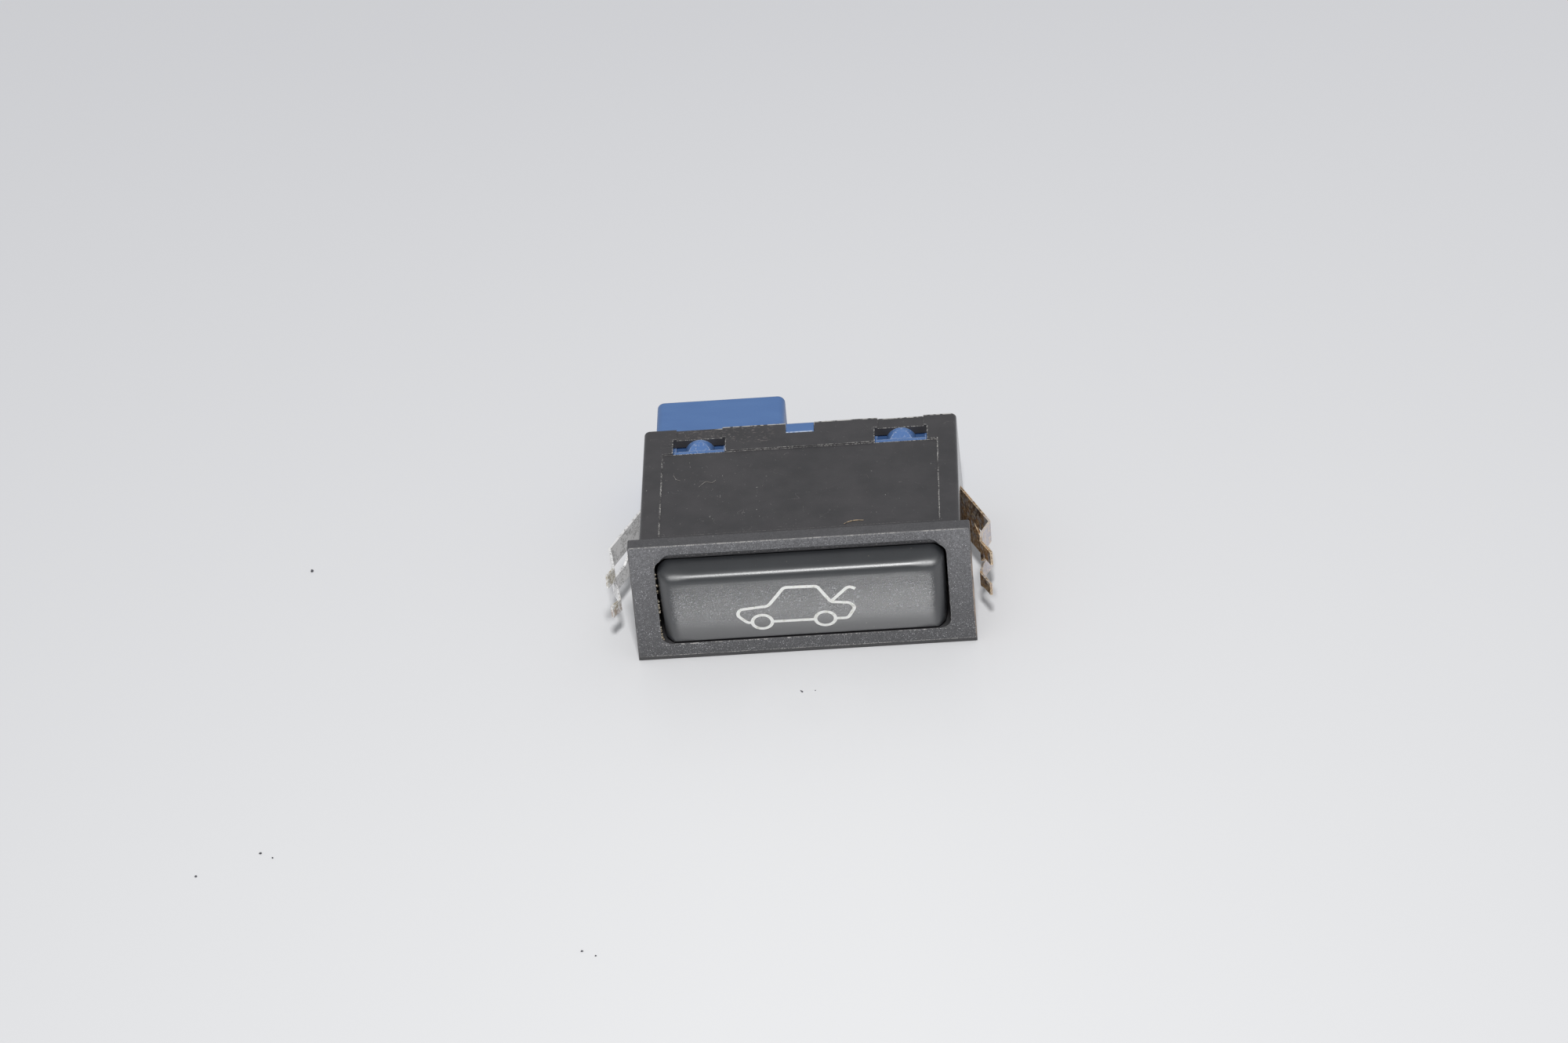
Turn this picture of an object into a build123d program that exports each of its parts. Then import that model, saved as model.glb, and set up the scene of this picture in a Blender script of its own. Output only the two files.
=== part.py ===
from build123d import *
import os
from math import acos, degrees, sqrt

# Tailgate push switch. X runs across the button, Y runs rearwards and Z runs up, all in mm.
# The origin is the middle of the bezel's back face, which lies against the panel.

# Bezel: the frame that stops on the panel.
bezel_w, bezel_h, bezel_t = 44.0, 17.75, 1.9
bezel_corner_r, bezel_edge_r = 0.25, 0.2
bezel_foot_rise, bezel_foot_deep = 0.78, 0.44

# Aperture for the button, a little above the bezel's middle, and the scoop over it.
aperture_side, aperture_bar, aperture_r = 3.2, 2.4, 1.4
aperture_w, aperture_h = bezel_w - 2 * aperture_side, bezel_h - 2 * aperture_bar
aperture_z = 0.175
aperture_rear = 7.0
scoop_w, scoop_rise, scoop_depth, scoop_r, scoop_len = 34.8, 0.8, 0.45, 0.8, 4.0
scoop_taper, scoop_cut = 55, 1.0

# Chamber behind the aperture, with a step that the button's ears stop on.
step_w, plunger_gap, chamber_gap = 0.6, 0.4, 0.3
plunger_half_h = aperture_h / 2 - aperture_z - plunger_gap
chamber_half_w, chamber_half_h = aperture_w / 2 + step_w, plunger_half_h + chamber_gap

# Box around the chamber, moulded with the bezel. Its sides widen a little downwards.
side_wall, roof_t, side_draft = 1.35, 1.3, 0.3
box_half_top, box_top = chamber_half_w + side_wall, chamber_half_h + roof_t
box_half_bottom = box_half_top + side_draft
box_depth = 28.1
box_corner_r = 0.8

# Latch windows and key notch near the rear edge, and the recessed panel before them.
window_x, window_w, window_len, window_bar = 13.35, 6.9, 3.4, 2.4
window_rear = box_depth - window_bar
window_front = window_rear - window_len
notch_w, notch_len = 3.8, 2.4
bar_dip_w, bar_dip = 6.1, 0.2
notch_front = box_depth - notch_len
panel_half_w, panel_front, panel_sink = 18.15, 2.5, 0.2

# Side clips: a bent strip each, forked in front, with a rolled root that rocks in a pocket.
# Each point of a strip is (distance out from the box's side, depth).
sheet = 0.3
root_in, root_back, root_r, root_turn = 1.0, 9.35, 0.45, 250
root_x, root_y = box_half_top - root_in, box_depth - root_back
clip_top, clip_bottom = 2.75, -4.2
fork_top, fork_bottom, fork_rear, fork_front = -0.3, -2.1, 13.3, 10.9
tab_start, tab_full, tab_top_low, tab_bottom_low = 4.1, 3.1, 0.8, -3.85
right_upper = [(3.7, 8.7), (2.55, 6.1), (2.45, 4.2), (3.75, 1.35)]
right_lower = [(3.7, 8.7), (2.45, 6.1), (2.2, 4.2), (3.45, 1.35)]
left_upper = [(4.4, 7.6), (4.1, 6.0), (3.7, 3.0), (4.6, 1.35)]
left_lower = [(4.4, 7.6), (3.85, 6.0), (3.3, 3.0), (4.35, 1.35)]
clip_bend_r = 0.5
clip_swing = 8.0
pocket_gap, pocket_end_gap, pocket_outer_len, pocket_inner_len = 0.08, 0.15, 3.2, 6.5
pocket_low, pocket_high = clip_bottom - pocket_end_gap, clip_top + pocket_end_gap
boss_wall, boss_in, boss_front_len, boss_rear_len = 0.6, 1.35, 1.85, 1.7
boss_x = root_x - boss_in

# Button cap.
cap_gap = 0.3
cap_half_w = aperture_w / 2 - cap_gap
cap_top = aperture_z + aperture_h / 2 - cap_gap
cap_bottom = aperture_z - aperture_h / 2 + cap_gap
cap_rear = 4.0
ridge_stand, ridge_drop, ridge_r = 2.7, 0.88, 1.3
ridge_y, ridge_z = -bezel_t - ridge_stand, cap_top - ridge_drop
foot_stand, cap_foot_r, cap_shoulder_r = 0.15, 0.4, 1.2
cap_foot_y = -bezel_t - foot_stand
side_lean, bevel_in, bevel_deep = 0.4, 1.05, 0.9
bevel_face_r, bevel_side_r, cap_corner_r = 0.7, 0.3, 1.8
cap_wall = 1.25
cap_front_wall, cap_foot_wall = 1.6, 1.45
face_bow = 0.42
latch_x, latch_back, latch_w, latch_d, latch_sink = 11.0, 1.4, 3.2, 1.4, 0.3
latch_y = cap_rear - latch_back

# Plunger: the white frame behind the cap.
fit, seat_gap = 0.08, 0.03
spigot_len, flange_t = 3.4, 1.37
plunger_front, plunger_back = cap_rear - spigot_len, cap_rear + seat_gap
plunger_rear = plunger_back + flange_t
leg_gap, leg_t, leg_half_h, leg_taper, leg_tail = 0.6, 1.2, 3.4, 1.0, 4.0
leg_out = aperture_w / 2 - leg_gap
leg_in = leg_out - leg_t
ear_gap, ear_len, ear_side_gap, ear_clear = 0.04, 2.4, 0.15, 0.8
ear_front, ear_out = aperture_rear + ear_gap, chamber_half_w - ear_side_gap
ear_rear = ear_front + ear_len
ear_inner_high, ear_inner_low = pocket_high + ear_clear, pocket_low - ear_clear
leg_step = ear_rear + 0.6
leg_rear = leg_step + leg_tail
light_half_w, light_low, light_high = 7.4, 0.4, 4.2
travel = 2.4

# Return springs, the square towers that carry them, and the square pegs that centre them.
spring_r, wire_r, spring_turns, spring_len = 1.6, 0.2, 4, 7.6
tower_gap, peg_gap, peg_len = 0.1, 0.15, 1.5
tower_half = spring_r + wire_r + tower_gap
peg_w = sqrt(2) * (spring_r - wire_r - peg_gap)
spring_x, tower_front = leg_in - tower_half - tower_gap, plunger_rear + spring_len

# Contact carrier: the blue moulding that closes the box and forms the connector.
plate_t, carrier_gap = 2.2, 0.1
plate_front, plate_rear = box_depth - plate_t, box_depth
carrier_half_w, carrier_half_h = chamber_half_w - carrier_gap, chamber_half_h - carrier_gap
deck_len, deck_t = 5.4, 1.1
deck_front = plate_front - deck_len
lug_w, lug_sink, lug_gap, lug_bite = 3.7, 0.2, 0.05, 0.5
lug_top, lug_front, lug_rear = box_top - lug_sink, window_front + lug_sink, window_rear - lug_gap
relief_gap, relief_len = 0.3, 2.0
shoulder_gap, shoulder_len, shoulder_drop = 0.15, 1.3, 0.55
key_sink, key_r = 0.1, 0.4
shroud_w, shroud_h, shroud_len, shroud_r = 17.2, 11.2, 10.0, 1.0
shroud_wall, shroud_floor_t, shroud_inset = 1.1, 1.4, -0.15
shroud_x = shroud_w / 2 + shroud_inset - carrier_half_w
shroud_rear, shroud_floor = plate_rear + shroud_len, plate_rear + shroud_floor_t

# Bridge contact on the plunger's stem.
bridge_shift, bridge_z = 3.25, -3.6
bridge_x = shroud_x + bridge_shift
stem_r, stem_clear, stem_boss_len = 0.9, 0.07, 2.5
stem_boss_rear = plunger_rear + stem_boss_len
stem_head_r, stem_head_t = 1.35, 0.85
tip_dx, tip_r, tip_t = 3.0, 0.95, 0.5
bridge_t, bridge_margin, bridge_corner_r = 0.5, 0.35, 0.4
bridge_half, bridge_half_h = tip_dx + tip_r + bridge_margin, tip_r + bridge_margin
contact_spring_r, contact_wire_r, contact_turns, contact_spring_len = 1.35, 0.15, 3, 3.5
stem_boss_r = contact_spring_r + contact_wire_r + 0.25
bridge_front = stem_boss_rear + contact_spring_len
bridge_rear = bridge_front + bridge_t
contact_gap = travel + 0.05

# Terminals: 2.8 mm blades in two rows.
blade_w, blade_t, blade_setback, blade_taper = 2.8, 0.8, 2.6, 0.8
blade_rear = shroud_rear - blade_setback
blade_dx, blade_z = 3.3, 2.55
strip_w, yoke_d, shoulder_w = 1.5, 1.5, 0.3
slit = 0.02
pad_front = bridge_rear + tip_t + contact_gap + tip_t
pad_w, pad_drop = 2.2, 1.1
pedestal_margin = 0.6

# Lamp board with its lamp and resistor, and the light guide in the plunger.
board_gap, board_t, board_side = 0.1, 1.0, 2.0
board_front = deck_front + board_gap
board_rear = board_front + board_t
board_low = tower_half + board_gap
board_high = carrier_half_h - deck_t - board_gap
post_x, post_w, pin_w = 3.6, 2.0, 1.0
post_z = (board_low + board_high) / 2
part_gap, lead_tail = 1.2, 0.4
led_rise, led_r, led_len, led_flange, led_flange_t, led_rim = 0.9, 1.5, 4.8, 0.3, 0.8, 0.4
led_z, led_back = board_low + led_rise, board_front - part_gap
led_tip = led_back - led_len
lead_w, lead_dx, lead_r = 0.5, 0.9, 0.25
lead_rear = board_rear + lead_tail
resistor_half, resistor_r, resistor_lead_dx = 1.7, 0.85, 2.05
resistor_y = board_front - part_gap
guide_lead, guide_lip, guide_tail_half, guide_end_gap = 1.8, 0.8, 2.4, 1.4
guide_front, guide_rear = plunger_front - guide_lead, led_tip - travel - guide_end_gap


def across(y):
    """Plane at depth y facing the button side, so a negative extrusion runs rearwards."""
    return Plane.XZ.offset(-y)


def slope_out(first):
    """Direction from a clip's root to where the straight slope leaves the roll."""
    reach = Vector(box_half_top + first[0], first[1]) - Vector(root_x, root_y)
    return reach.normalized().rotate(Axis.Z, degrees(acos(root_r / reach.length)))


def strip(points, side):
    """Plan of one clip strip: the rolled root, then the slope and the bent prong."""
    out = slope_out(points[0])
    leave = Vector(root_x, root_y) + out * root_r
    bends = [(box_half_top + stand, y) for stand, y in points]
    with BuildLine() as path:
        CenterArc((root_x, root_y), root_r, degrees(acos(out.X)), root_turn)
        FilletPolyline((leave.X, leave.Y), *bends, radius=clip_bend_r)
        if side < 0:
            mirror(about=Plane.YZ, mode=Mode.REPLACE)
    trace(path.edges(), line_width=sheet)


def side_prism(*points):
    """Cut a Y-Z outline right across the part."""
    with BuildSketch(Plane.YZ) as section:
        with BuildLine():
            Polyline(*points, close=True)
        make_face()
    extrude(section.sketch, amount=bezel_w, both=True, mode=Mode.SUBTRACT)


def both_sides(x, y):
    """The place (x, y) and its mirror image across the middle."""
    return Locations((x, y), (-x, y))


# --- Housing: box and bezel, one black moulding -------------------------------------------
with BuildPart() as housing:
    with BuildSketch(across(0)):
        with BuildLine():
            Polyline(
                (-box_half_top, box_top),
                (box_half_top, box_top),
                (box_half_bottom, -box_top),
                (-box_half_bottom, -box_top),
                close=True,
            )
        make_face()
    extrude(amount=-box_depth)
    fillet(housing.edges().filter_by(Axis.Y), box_corner_r)
    with BuildSketch(across(0)):
        RectangleRounded(bezel_w, bezel_h, bezel_corner_r)
    extrude(amount=bezel_t)
    fillet(housing.faces().sort_by(Axis.Y)[0].edges(), bezel_edge_r)
    side_prism(
        (-bezel_t, -bezel_h / 2),
        (-bezel_t, bezel_foot_rise - bezel_h / 2),
        (bezel_foot_deep - bezel_t, -bezel_h / 2),
    )
    # Aperture and chamber.
    with BuildSketch(across(-bezel_t)):
        with Locations((0, aperture_z)):
            RectangleRounded(aperture_w, aperture_h, aperture_r)
    extrude(amount=-(bezel_t + aperture_rear), mode=Mode.SUBTRACT)
    with BuildSketch(across(aperture_rear)):
        Rectangle(2 * chamber_half_w, 2 * chamber_half_h)
    extrude(amount=-(box_depth - aperture_rear), mode=Mode.SUBTRACT)
    # Scoop over the aperture, a shallow slope that fades into the bezel's face.
    scoop = Plane(
        origin=(0, -bezel_t, aperture_z + aperture_h / 2 + scoop_rise),
        x_dir=(1, 0, 0),
        z_dir=(0, -scoop_rise, -scoop_depth),
    )
    with BuildSketch(scoop):
        with Locations((0, -scoop_len / 2)):
            RectangleRounded(scoop_w, scoop_len, scoop_r)
    extrude(amount=scoop_cut, taper=-scoop_taper, mode=Mode.SUBTRACT)
    # Blocks inside the side walls for the clip pockets, then the pockets.
    boss_front, boss_rear = root_y - boss_front_len, root_y + boss_rear_len
    boss_w = chamber_half_w + side_wall / 2 - boss_x
    with BuildSketch(Plane.XY.offset(pocket_low - boss_wall)):
        with both_sides(boss_x + boss_w / 2, (boss_front + boss_rear) / 2):
            Rectangle(boss_w, boss_rear - boss_front)
    extrude(amount=pocket_high - pocket_low + 2 * boss_wall)
    with BuildSketch(Plane.XY.offset(pocket_low)):
        for side, first in ((1, right_upper[0]), (-1, left_upper[0])):
            rest = slope_out(first)
            pressed = rest.rotate(Axis.Z, -clip_swing)
            root = Vector(root_x, root_y)
            outer = root + rest * (root_r + sheet / 2 + pocket_gap)
            inner = root + pressed * (root_r - sheet / 2 - pocket_gap)
            outer_end = outer + rest.rotate(Axis.Z, -90) * pocket_outer_len
            inner_end = inner + pressed.rotate(Axis.Z, -90) * pocket_inner_len
            with BuildLine():
                Polyline(
                    *[(side * p.X, p.Y) for p in (outer, outer_end, inner_end, inner)],
                    close=True,
                )
            make_face()
            with Locations((side * root_x, root_y)):
                Circle(root_r + sheet / 2 + pocket_gap)
    extrude(amount=pocket_high - pocket_low, mode=Mode.SUBTRACT)
    # Recessed panel on the top.
    with BuildSketch(Plane.XY.offset(box_top)):
        with Locations((0, (panel_front + window_front) / 2)):
            Rectangle(2 * panel_half_w, window_front - panel_front)
    extrude(amount=-panel_sink, mode=Mode.SUBTRACT)
    # Latch windows, top and bottom, and the key notch at the rear edge.
    with BuildSketch(Plane.XY.offset(-box_top)):
        with both_sides(window_x, (window_front + window_rear) / 2):
            Rectangle(window_w, window_len)
    extrude(amount=2 * box_top, mode=Mode.SUBTRACT)
    with BuildSketch(Plane.XY):
        with Locations((0, notch_front + notch_len / 2)):
            Rectangle(notch_w, notch_len)
    extrude(amount=box_top, mode=Mode.SUBTRACT)
    # The bar behind each latch window lies a little below the roof.
    with BuildSketch(Plane.XY.offset(box_top)):
        with both_sides(window_x, (window_rear + box_depth) / 2):
            Rectangle(bar_dip_w, window_bar)
    extrude(amount=-bar_dip, mode=Mode.SUBTRACT)
housing.part.label = "housing"

# --- Button cap ---------------------------------------------------------------------------
with BuildPart() as button_cap:
    with BuildSketch(Plane.YZ) as outline:
        with BuildLine():
            Polyline(
                (cap_foot_y, cap_bottom),
                (cap_rear, cap_bottom),
                (cap_rear, cap_top),
                (-bezel_t, cap_top),
                (ridge_y, ridge_z),
            )
            bow = ThreePointArc(
                (ridge_y, ridge_z),
                ((ridge_y + cap_foot_y) / 2 - face_bow, (ridge_z + cap_bottom) / 2),
                (cap_foot_y, cap_bottom),
            )
        make_face()
        fillet(outline.vertices().sort_by(Axis.X)[0], ridge_r)
        fillet(outline.vertices().group_by(Axis.Y)[0].sort_by(Axis.X)[0], cap_foot_r)
        fillet(outline.vertices().group_by(Axis.Y)[-1].sort_by(Axis.X)[0], cap_shoulder_r)
    extrude(amount=cap_half_w, both=True)
    # Bevelled sides that follow the face's bow, so turned about the bow's own axis.
    hub = Vector(0, bow.arc_center.X, bow.arc_center.Y)
    side_x = cap_half_w - side_lean
    face_x = side_x - bevel_in
    with BuildSketch(Plane(origin=hub, x_dir=(1, 0, 0), z_dir=(0, 0, -1))) as half_turned:
        with BuildLine():
            Polyline(
                (0, bow.radius),
                (face_x, bow.radius),
                (side_x, bow.radius - bevel_deep),
                (cap_half_w, bow.radius - ridge_stand),
                (cap_half_w, bow.radius - bezel_h),
                (0, bow.radius - bezel_h),
                close=True,
            )
        make_face()
        fillet(half_turned.vertices().filter_by(lambda v: abs(v.X - face_x) < slit), bevel_face_r)
        fillet(half_turned.vertices().filter_by(lambda v: abs(v.X - side_x) < slit), bevel_side_r)
        mirror(about=Plane.YZ)
    revolve(axis=Axis(hub, (1, 0, 0)), mode=Mode.INTERSECT)
    # The rounded front outline.
    with BuildSketch(across(ridge_y - bevel_deep)):
        with Locations((0, aperture_z)):
            RectangleRounded(2 * cap_half_w, cap_top - cap_bottom, cap_corner_r)
    extrude(amount=ridge_y - bevel_deep - cap_rear, mode=Mode.INTERSECT)
    # Hollow behind, open to the rear.
    with BuildSketch(Plane.YZ):
        with BuildLine():
            Polyline(
                (cap_rear, cap_bottom + cap_wall),
                (cap_rear, cap_top - cap_wall),
                (ridge_y + cap_front_wall, cap_top - cap_wall),
                (cap_foot_y + cap_foot_wall, cap_bottom + cap_wall),
                close=True,
            )
        make_face()
    extrude(amount=cap_half_w - cap_wall, both=True, mode=Mode.SUBTRACT)
    # Latch holes through the top and bottom of the skirt.
    with BuildSketch(Plane.XY.offset(cap_bottom)):
        with both_sides(latch_x, latch_y):
            Rectangle(latch_w, latch_d)
    extrude(amount=cap_top - cap_bottom, mode=Mode.SUBTRACT)
button_cap.part.label = "button_cap"

# --- Plunger ------------------------------------------------------------------------------
with BuildPart() as plunger:
    with BuildSketch(across(plunger_front)):
        with Locations((0, (cap_top + cap_bottom) / 2)):
            Rectangle(2 * (cap_half_w - cap_wall - fit), cap_top - cap_bottom - 2 * (cap_wall + fit))
    extrude(amount=plunger_front - plunger_back)
    with BuildSketch(across(plunger_back)):
        Rectangle(2 * leg_out, 2 * plunger_half_h)
    extrude(amount=-flange_t)
    # Lugs that hold the cap.
    with BuildSketch(Plane.XY.offset(cap_bottom + latch_sink)):
        with both_sides(latch_x, latch_y):
            Rectangle(latch_w - 2 * fit, latch_d - 2 * fit)
    extrude(amount=cap_top - cap_bottom - 2 * latch_sink)
    # Side legs with the ears that stop on the step behind the aperture.
    for side in (1, -1):
        with BuildSketch(Plane.YZ.offset(side * leg_in)):
            with BuildLine():
                Polyline(
                    (plunger_rear, -plunger_half_h),
                    (leg_step, -plunger_half_h),
                    (leg_step + leg_taper, -leg_half_h),
                    (leg_rear, -leg_half_h),
                    (leg_rear, leg_half_h),
                    (leg_step + leg_taper, leg_half_h),
                    (leg_step, plunger_half_h),
                    (plunger_rear, plunger_half_h),
                    close=True,
                )
            make_face()
        extrude(amount=side * leg_t)
    with BuildSketch(across(ear_front)):
        for low, high in ((ear_inner_high, plunger_half_h), (-plunger_half_h, ear_inner_low)):
            with both_sides((leg_in + ear_out) / 2, (low + high) / 2):
                Rectangle(ear_out - leg_in, high - low)
    extrude(amount=-ear_len)
    # Light window, spring pegs, and the stem for the bridge contact.
    with BuildSketch(across(plunger_front)):
        with Locations((0, (light_low + light_high) / 2)):
            Rectangle(2 * (light_half_w + fit), light_high - light_low + 2 * fit)
    extrude(amount=plunger_front - plunger_rear, mode=Mode.SUBTRACT)
    with BuildSketch(across(plunger_rear)):
        with both_sides(spring_x, 0):
            Rectangle(peg_w, peg_w)
    extrude(amount=-peg_len)
    with BuildSketch(across(plunger_rear)):
        with Locations((bridge_x, bridge_z)):
            Circle(stem_boss_r)
    extrude(amount=-stem_boss_len)
    with BuildSketch(across(stem_boss_rear)):
        with Locations((bridge_x, bridge_z)):
            Circle(stem_r)
    extrude(amount=stem_boss_rear - bridge_rear - seat_gap)
    with BuildSketch(across(bridge_rear + seat_gap)):
        with Locations((bridge_x, bridge_z)):
            Circle(stem_head_r)
    extrude(amount=-stem_head_t)
plunger.part.label = "plunger"

# --- Light guide --------------------------------------------------------------------------
with BuildPart() as light_guide:
    with BuildSketch(Plane.XY.offset(light_low)):
        with BuildLine():
            Polyline(
                (-light_half_w, guide_front),
                (light_half_w, guide_front),
                (light_half_w, plunger_rear),
                (guide_tail_half, guide_rear),
                (-guide_tail_half, guide_rear),
                (-light_half_w, plunger_rear),
                close=True,
            )
        make_face()
    extrude(amount=light_high - light_low)
    # Lip that rests on the plunger's front.
    with BuildSketch(across(guide_front)):
        with Locations((0, (light_low + light_high) / 2)):
            Rectangle(2 * light_half_w + 2 * guide_lip, light_high - light_low + guide_lip)
    extrude(amount=guide_front - plunger_front + seat_gap)
light_guide.part.label = "light_guide"


def spring(centre, length, radius, wire, turns):
    """Compression spring from a seat at centre, running rearwards; its wire has six flats."""
    pitch = (length - 2 * wire) / turns
    x, y, z = centre
    with BuildPart() as wound:
        with BuildLine() as coil:
            Helix(pitch, pitch * turns, radius, center=(x, y + wire, z), direction=(0, 1, 0))
        with BuildSketch(Plane(origin=coil.line @ 0, z_dir=coil.line % 0)):
            RegularPolygon(wire, 6)
        sweep(path=coil.line, is_frenet=True)
    return wound


# --- Springs: two that return the button, and one that presses the bridge on its stem -----
return_spring_right = spring((spring_x, plunger_rear, 0), spring_len, spring_r, wire_r, spring_turns)
return_spring_right.part.label = "return_spring_right"
return_spring_left = spring((-spring_x, plunger_rear, 0), spring_len, spring_r, wire_r, spring_turns)
return_spring_left.part.label = "return_spring_left"
contact_spring = spring(
    (bridge_x, stem_boss_rear, bridge_z),
    contact_spring_len,
    contact_spring_r,
    contact_wire_r,
    contact_turns,
)
contact_spring.part.label = "contact_spring"

# --- Bridge contact, the tips welded on it, and the tips welded on the terminals ----------
tip_places = [(bridge_x - tip_dx, bridge_z), (bridge_x + tip_dx, bridge_z)]
with BuildPart() as contact_bridge:
    with BuildSketch(across(bridge_front)):
        with Locations((bridge_x, bridge_z)):
            RectangleRounded(2 * bridge_half, 2 * bridge_half_h, bridge_corner_r)
            Circle(stem_r + stem_clear, mode=Mode.SUBTRACT)
    extrude(amount=-bridge_t)
contact_bridge.part.label = "contact_bridge"

with BuildPart() as bridge_tips:
    with BuildSketch(across(bridge_rear)):
        with Locations(*tip_places):
            Circle(tip_r)
    extrude(amount=-tip_t)
bridge_tips.part.label = "bridge_tips"

with BuildPart() as fixed_tips:
    with BuildSketch(across(pad_front)):
        with Locations(*tip_places):
            Circle(tip_r)
    extrude(amount=tip_t)
fixed_tips.part.label = "fixed_tips"

# --- Contact carrier ----------------------------------------------------------------------
with BuildPart() as contact_carrier:
    with BuildSketch(across(plate_front)):
        Rectangle(2 * carrier_half_w, 2 * carrier_half_h)
    extrude(amount=-plate_t)
    # Wall around the front of the plate.
    with BuildSketch(across(deck_front)):
        Rectangle(2 * carrier_half_w, 2 * carrier_half_h)
        Rectangle(2 * (carrier_half_w - deck_t), 2 * (carrier_half_h - deck_t), mode=Mode.SUBTRACT)
    extrude(amount=-deck_len)
    for up in (1, -1):
        # Snap lugs: arched ramps that stand in the housing's windows.
        with BuildSketch(across(lug_rear)):
            for x in (window_x, -window_x):
                left, right = (x - lug_w / 2, up * carrier_half_h), (x + lug_w / 2, up * carrier_half_h)
                with BuildLine():
                    ThreePointArc(left, (x, up * lug_top), right)
                    Line(right, left)
                make_face()
        extrude(amount=lug_rear - lug_front)
        side_prism(
            (lug_front - lug_bite, up * carrier_half_h),
            (lug_front, up * carrier_half_h),
            (lug_rear - lug_bite, up * lug_top),
            (lug_front - lug_bite, up * lug_top),
        )
        # Low shoulders beside each lug, as wide as the window.
        with BuildSketch(Plane.XY.offset(up * carrier_half_h)):
            with both_sides(window_x, lug_front + shoulder_len / 2):
                Rectangle(window_w - 2 * shoulder_gap, shoulder_len)
        extrude(amount=up * (lug_top - shoulder_drop - carrier_half_h))
        # Slots beside each lug, so that its tongue can spring.
        slot_w = window_w / 2 - relief_gap - lug_w / 2
        slot_x = lug_w / 2 + slot_w / 2
        with BuildSketch(Plane.XY.offset(up * carrier_half_h)):
            for x in (window_x, -window_x):
                with Locations((x, plate_front - relief_len / 2)):
                    with both_sides(slot_x, 0):
                        Rectangle(slot_w, relief_len)
        extrude(amount=-up * deck_t, mode=Mode.SUBTRACT)
    # Key in the housing's notch.
    with BuildSketch(Plane.XY.offset(carrier_half_h)):
        with Locations((0, plate_rear - (notch_len - lug_gap) / 2)):
            Rectangle(notch_w - 2 * lug_gap, notch_len - lug_gap)
    extrude(amount=box_top - key_sink - carrier_half_h)
    key_edge = contact_carrier.edges().filter_by(Axis.X).group_by(Axis.Z)[-1].sort_by(Axis.Y)[0]
    fillet(key_edge, key_r)
    # Spring towers and their pegs.
    with BuildSketch(across(tower_front)):
        with both_sides(spring_x, 0):
            Rectangle(2 * tower_half, 2 * tower_half)
    extrude(amount=tower_front - plate_front)
    with BuildSketch(across(tower_front)):
        with both_sides(spring_x, 0):
            Rectangle(peg_w, peg_w)
    extrude(amount=peg_len)
    # Pedestal under the switch contacts.
    pedestal_top = -blade_z - blade_t / 2
    with BuildSketch(across(pad_front + blade_t)):
        with Locations((bridge_x, (pedestal_top - carrier_half_h) / 2)):
            Rectangle(
                2 * (tip_dx + pad_w / 2 + pedestal_margin), pedestal_top + carrier_half_h
            )
    extrude(amount=pad_front + blade_t - plate_front)
    # Posts for the lamp board, with the pins that it is pressed on.
    with BuildSketch(across(board_rear)):
        with both_sides(post_x, post_z):
            Rectangle(post_w, post_w)
    extrude(amount=board_rear - plate_front)
    with BuildSketch(across(board_front - lead_tail)):
        with both_sides(post_x, post_z):
            Rectangle(pin_w, pin_w)
    extrude(amount=-(board_t + lead_tail))
    # Connector shroud with its socket, and the slits for the blades.
    with BuildSketch(across(plate_rear)):
        with Locations((shroud_x, 0)):
            RectangleRounded(shroud_w, shroud_h, shroud_r)
    extrude(amount=-shroud_len)
    with BuildSketch(across(shroud_floor)):
        with Locations((shroud_x, 0)):
            RectangleRounded(shroud_w - 2 * shroud_wall, shroud_h - 2 * shroud_wall, shroud_r / 2)
    extrude(amount=shroud_floor - shroud_rear, mode=Mode.SUBTRACT)
    with BuildSketch(across(plate_front)):
        with Locations((shroud_x, 0)):
            with GridLocations(2 * blade_dx, 2 * blade_z, 2, 2):
                Rectangle(blade_w + 2 * slit, blade_t + 2 * slit)
    extrude(amount=plate_front - shroud_floor, mode=Mode.SUBTRACT)
contact_carrier.part.label = "contact_carrier"


def blade_plan(x):
    """Plan of one blade, from the plate to its bevelled end."""
    with BuildLine() as plan:
        Polyline(
            (x - blade_w / 2, plate_front),
            (x - blade_w / 2, blade_rear - blade_taper),
            (x - blade_w / 2 + blade_taper / 2, blade_rear),
            (x + blade_w / 2 - blade_taper / 2, blade_rear),
            (x + blade_w / 2, blade_rear - blade_taper),
            (x + blade_w / 2, plate_front),
            close=True,
        )
    make_face(plan.edges())


def switch_terminal(x, tip_x):
    """Blade, yoke on the plate, strip along the pedestal, and the pad for a fixed tip."""
    foot_z = blade_z + blade_t / 2
    low, high = x - blade_w / 2, tip_x + strip_w / 2
    pad_low, pad_high = bridge_z - pad_drop, blade_t - foot_z
    with BuildPart() as terminal:
        with BuildSketch(Plane.XY.offset(-foot_z)):
            blade_plan(x)
            with Locations(((low + high) / 2, plate_front - yoke_d / 2)):
                Rectangle(high - low, yoke_d)
            with Locations((tip_x, (pad_front + plate_front) / 2)):
                Rectangle(strip_w, plate_front - pad_front)
        extrude(amount=blade_t)
        with BuildSketch(across(pad_front)):
            with Locations((tip_x, (pad_low + pad_high) / 2)):
                Rectangle(pad_w, pad_high - pad_low)
        extrude(amount=-blade_t)
    return terminal


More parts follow.
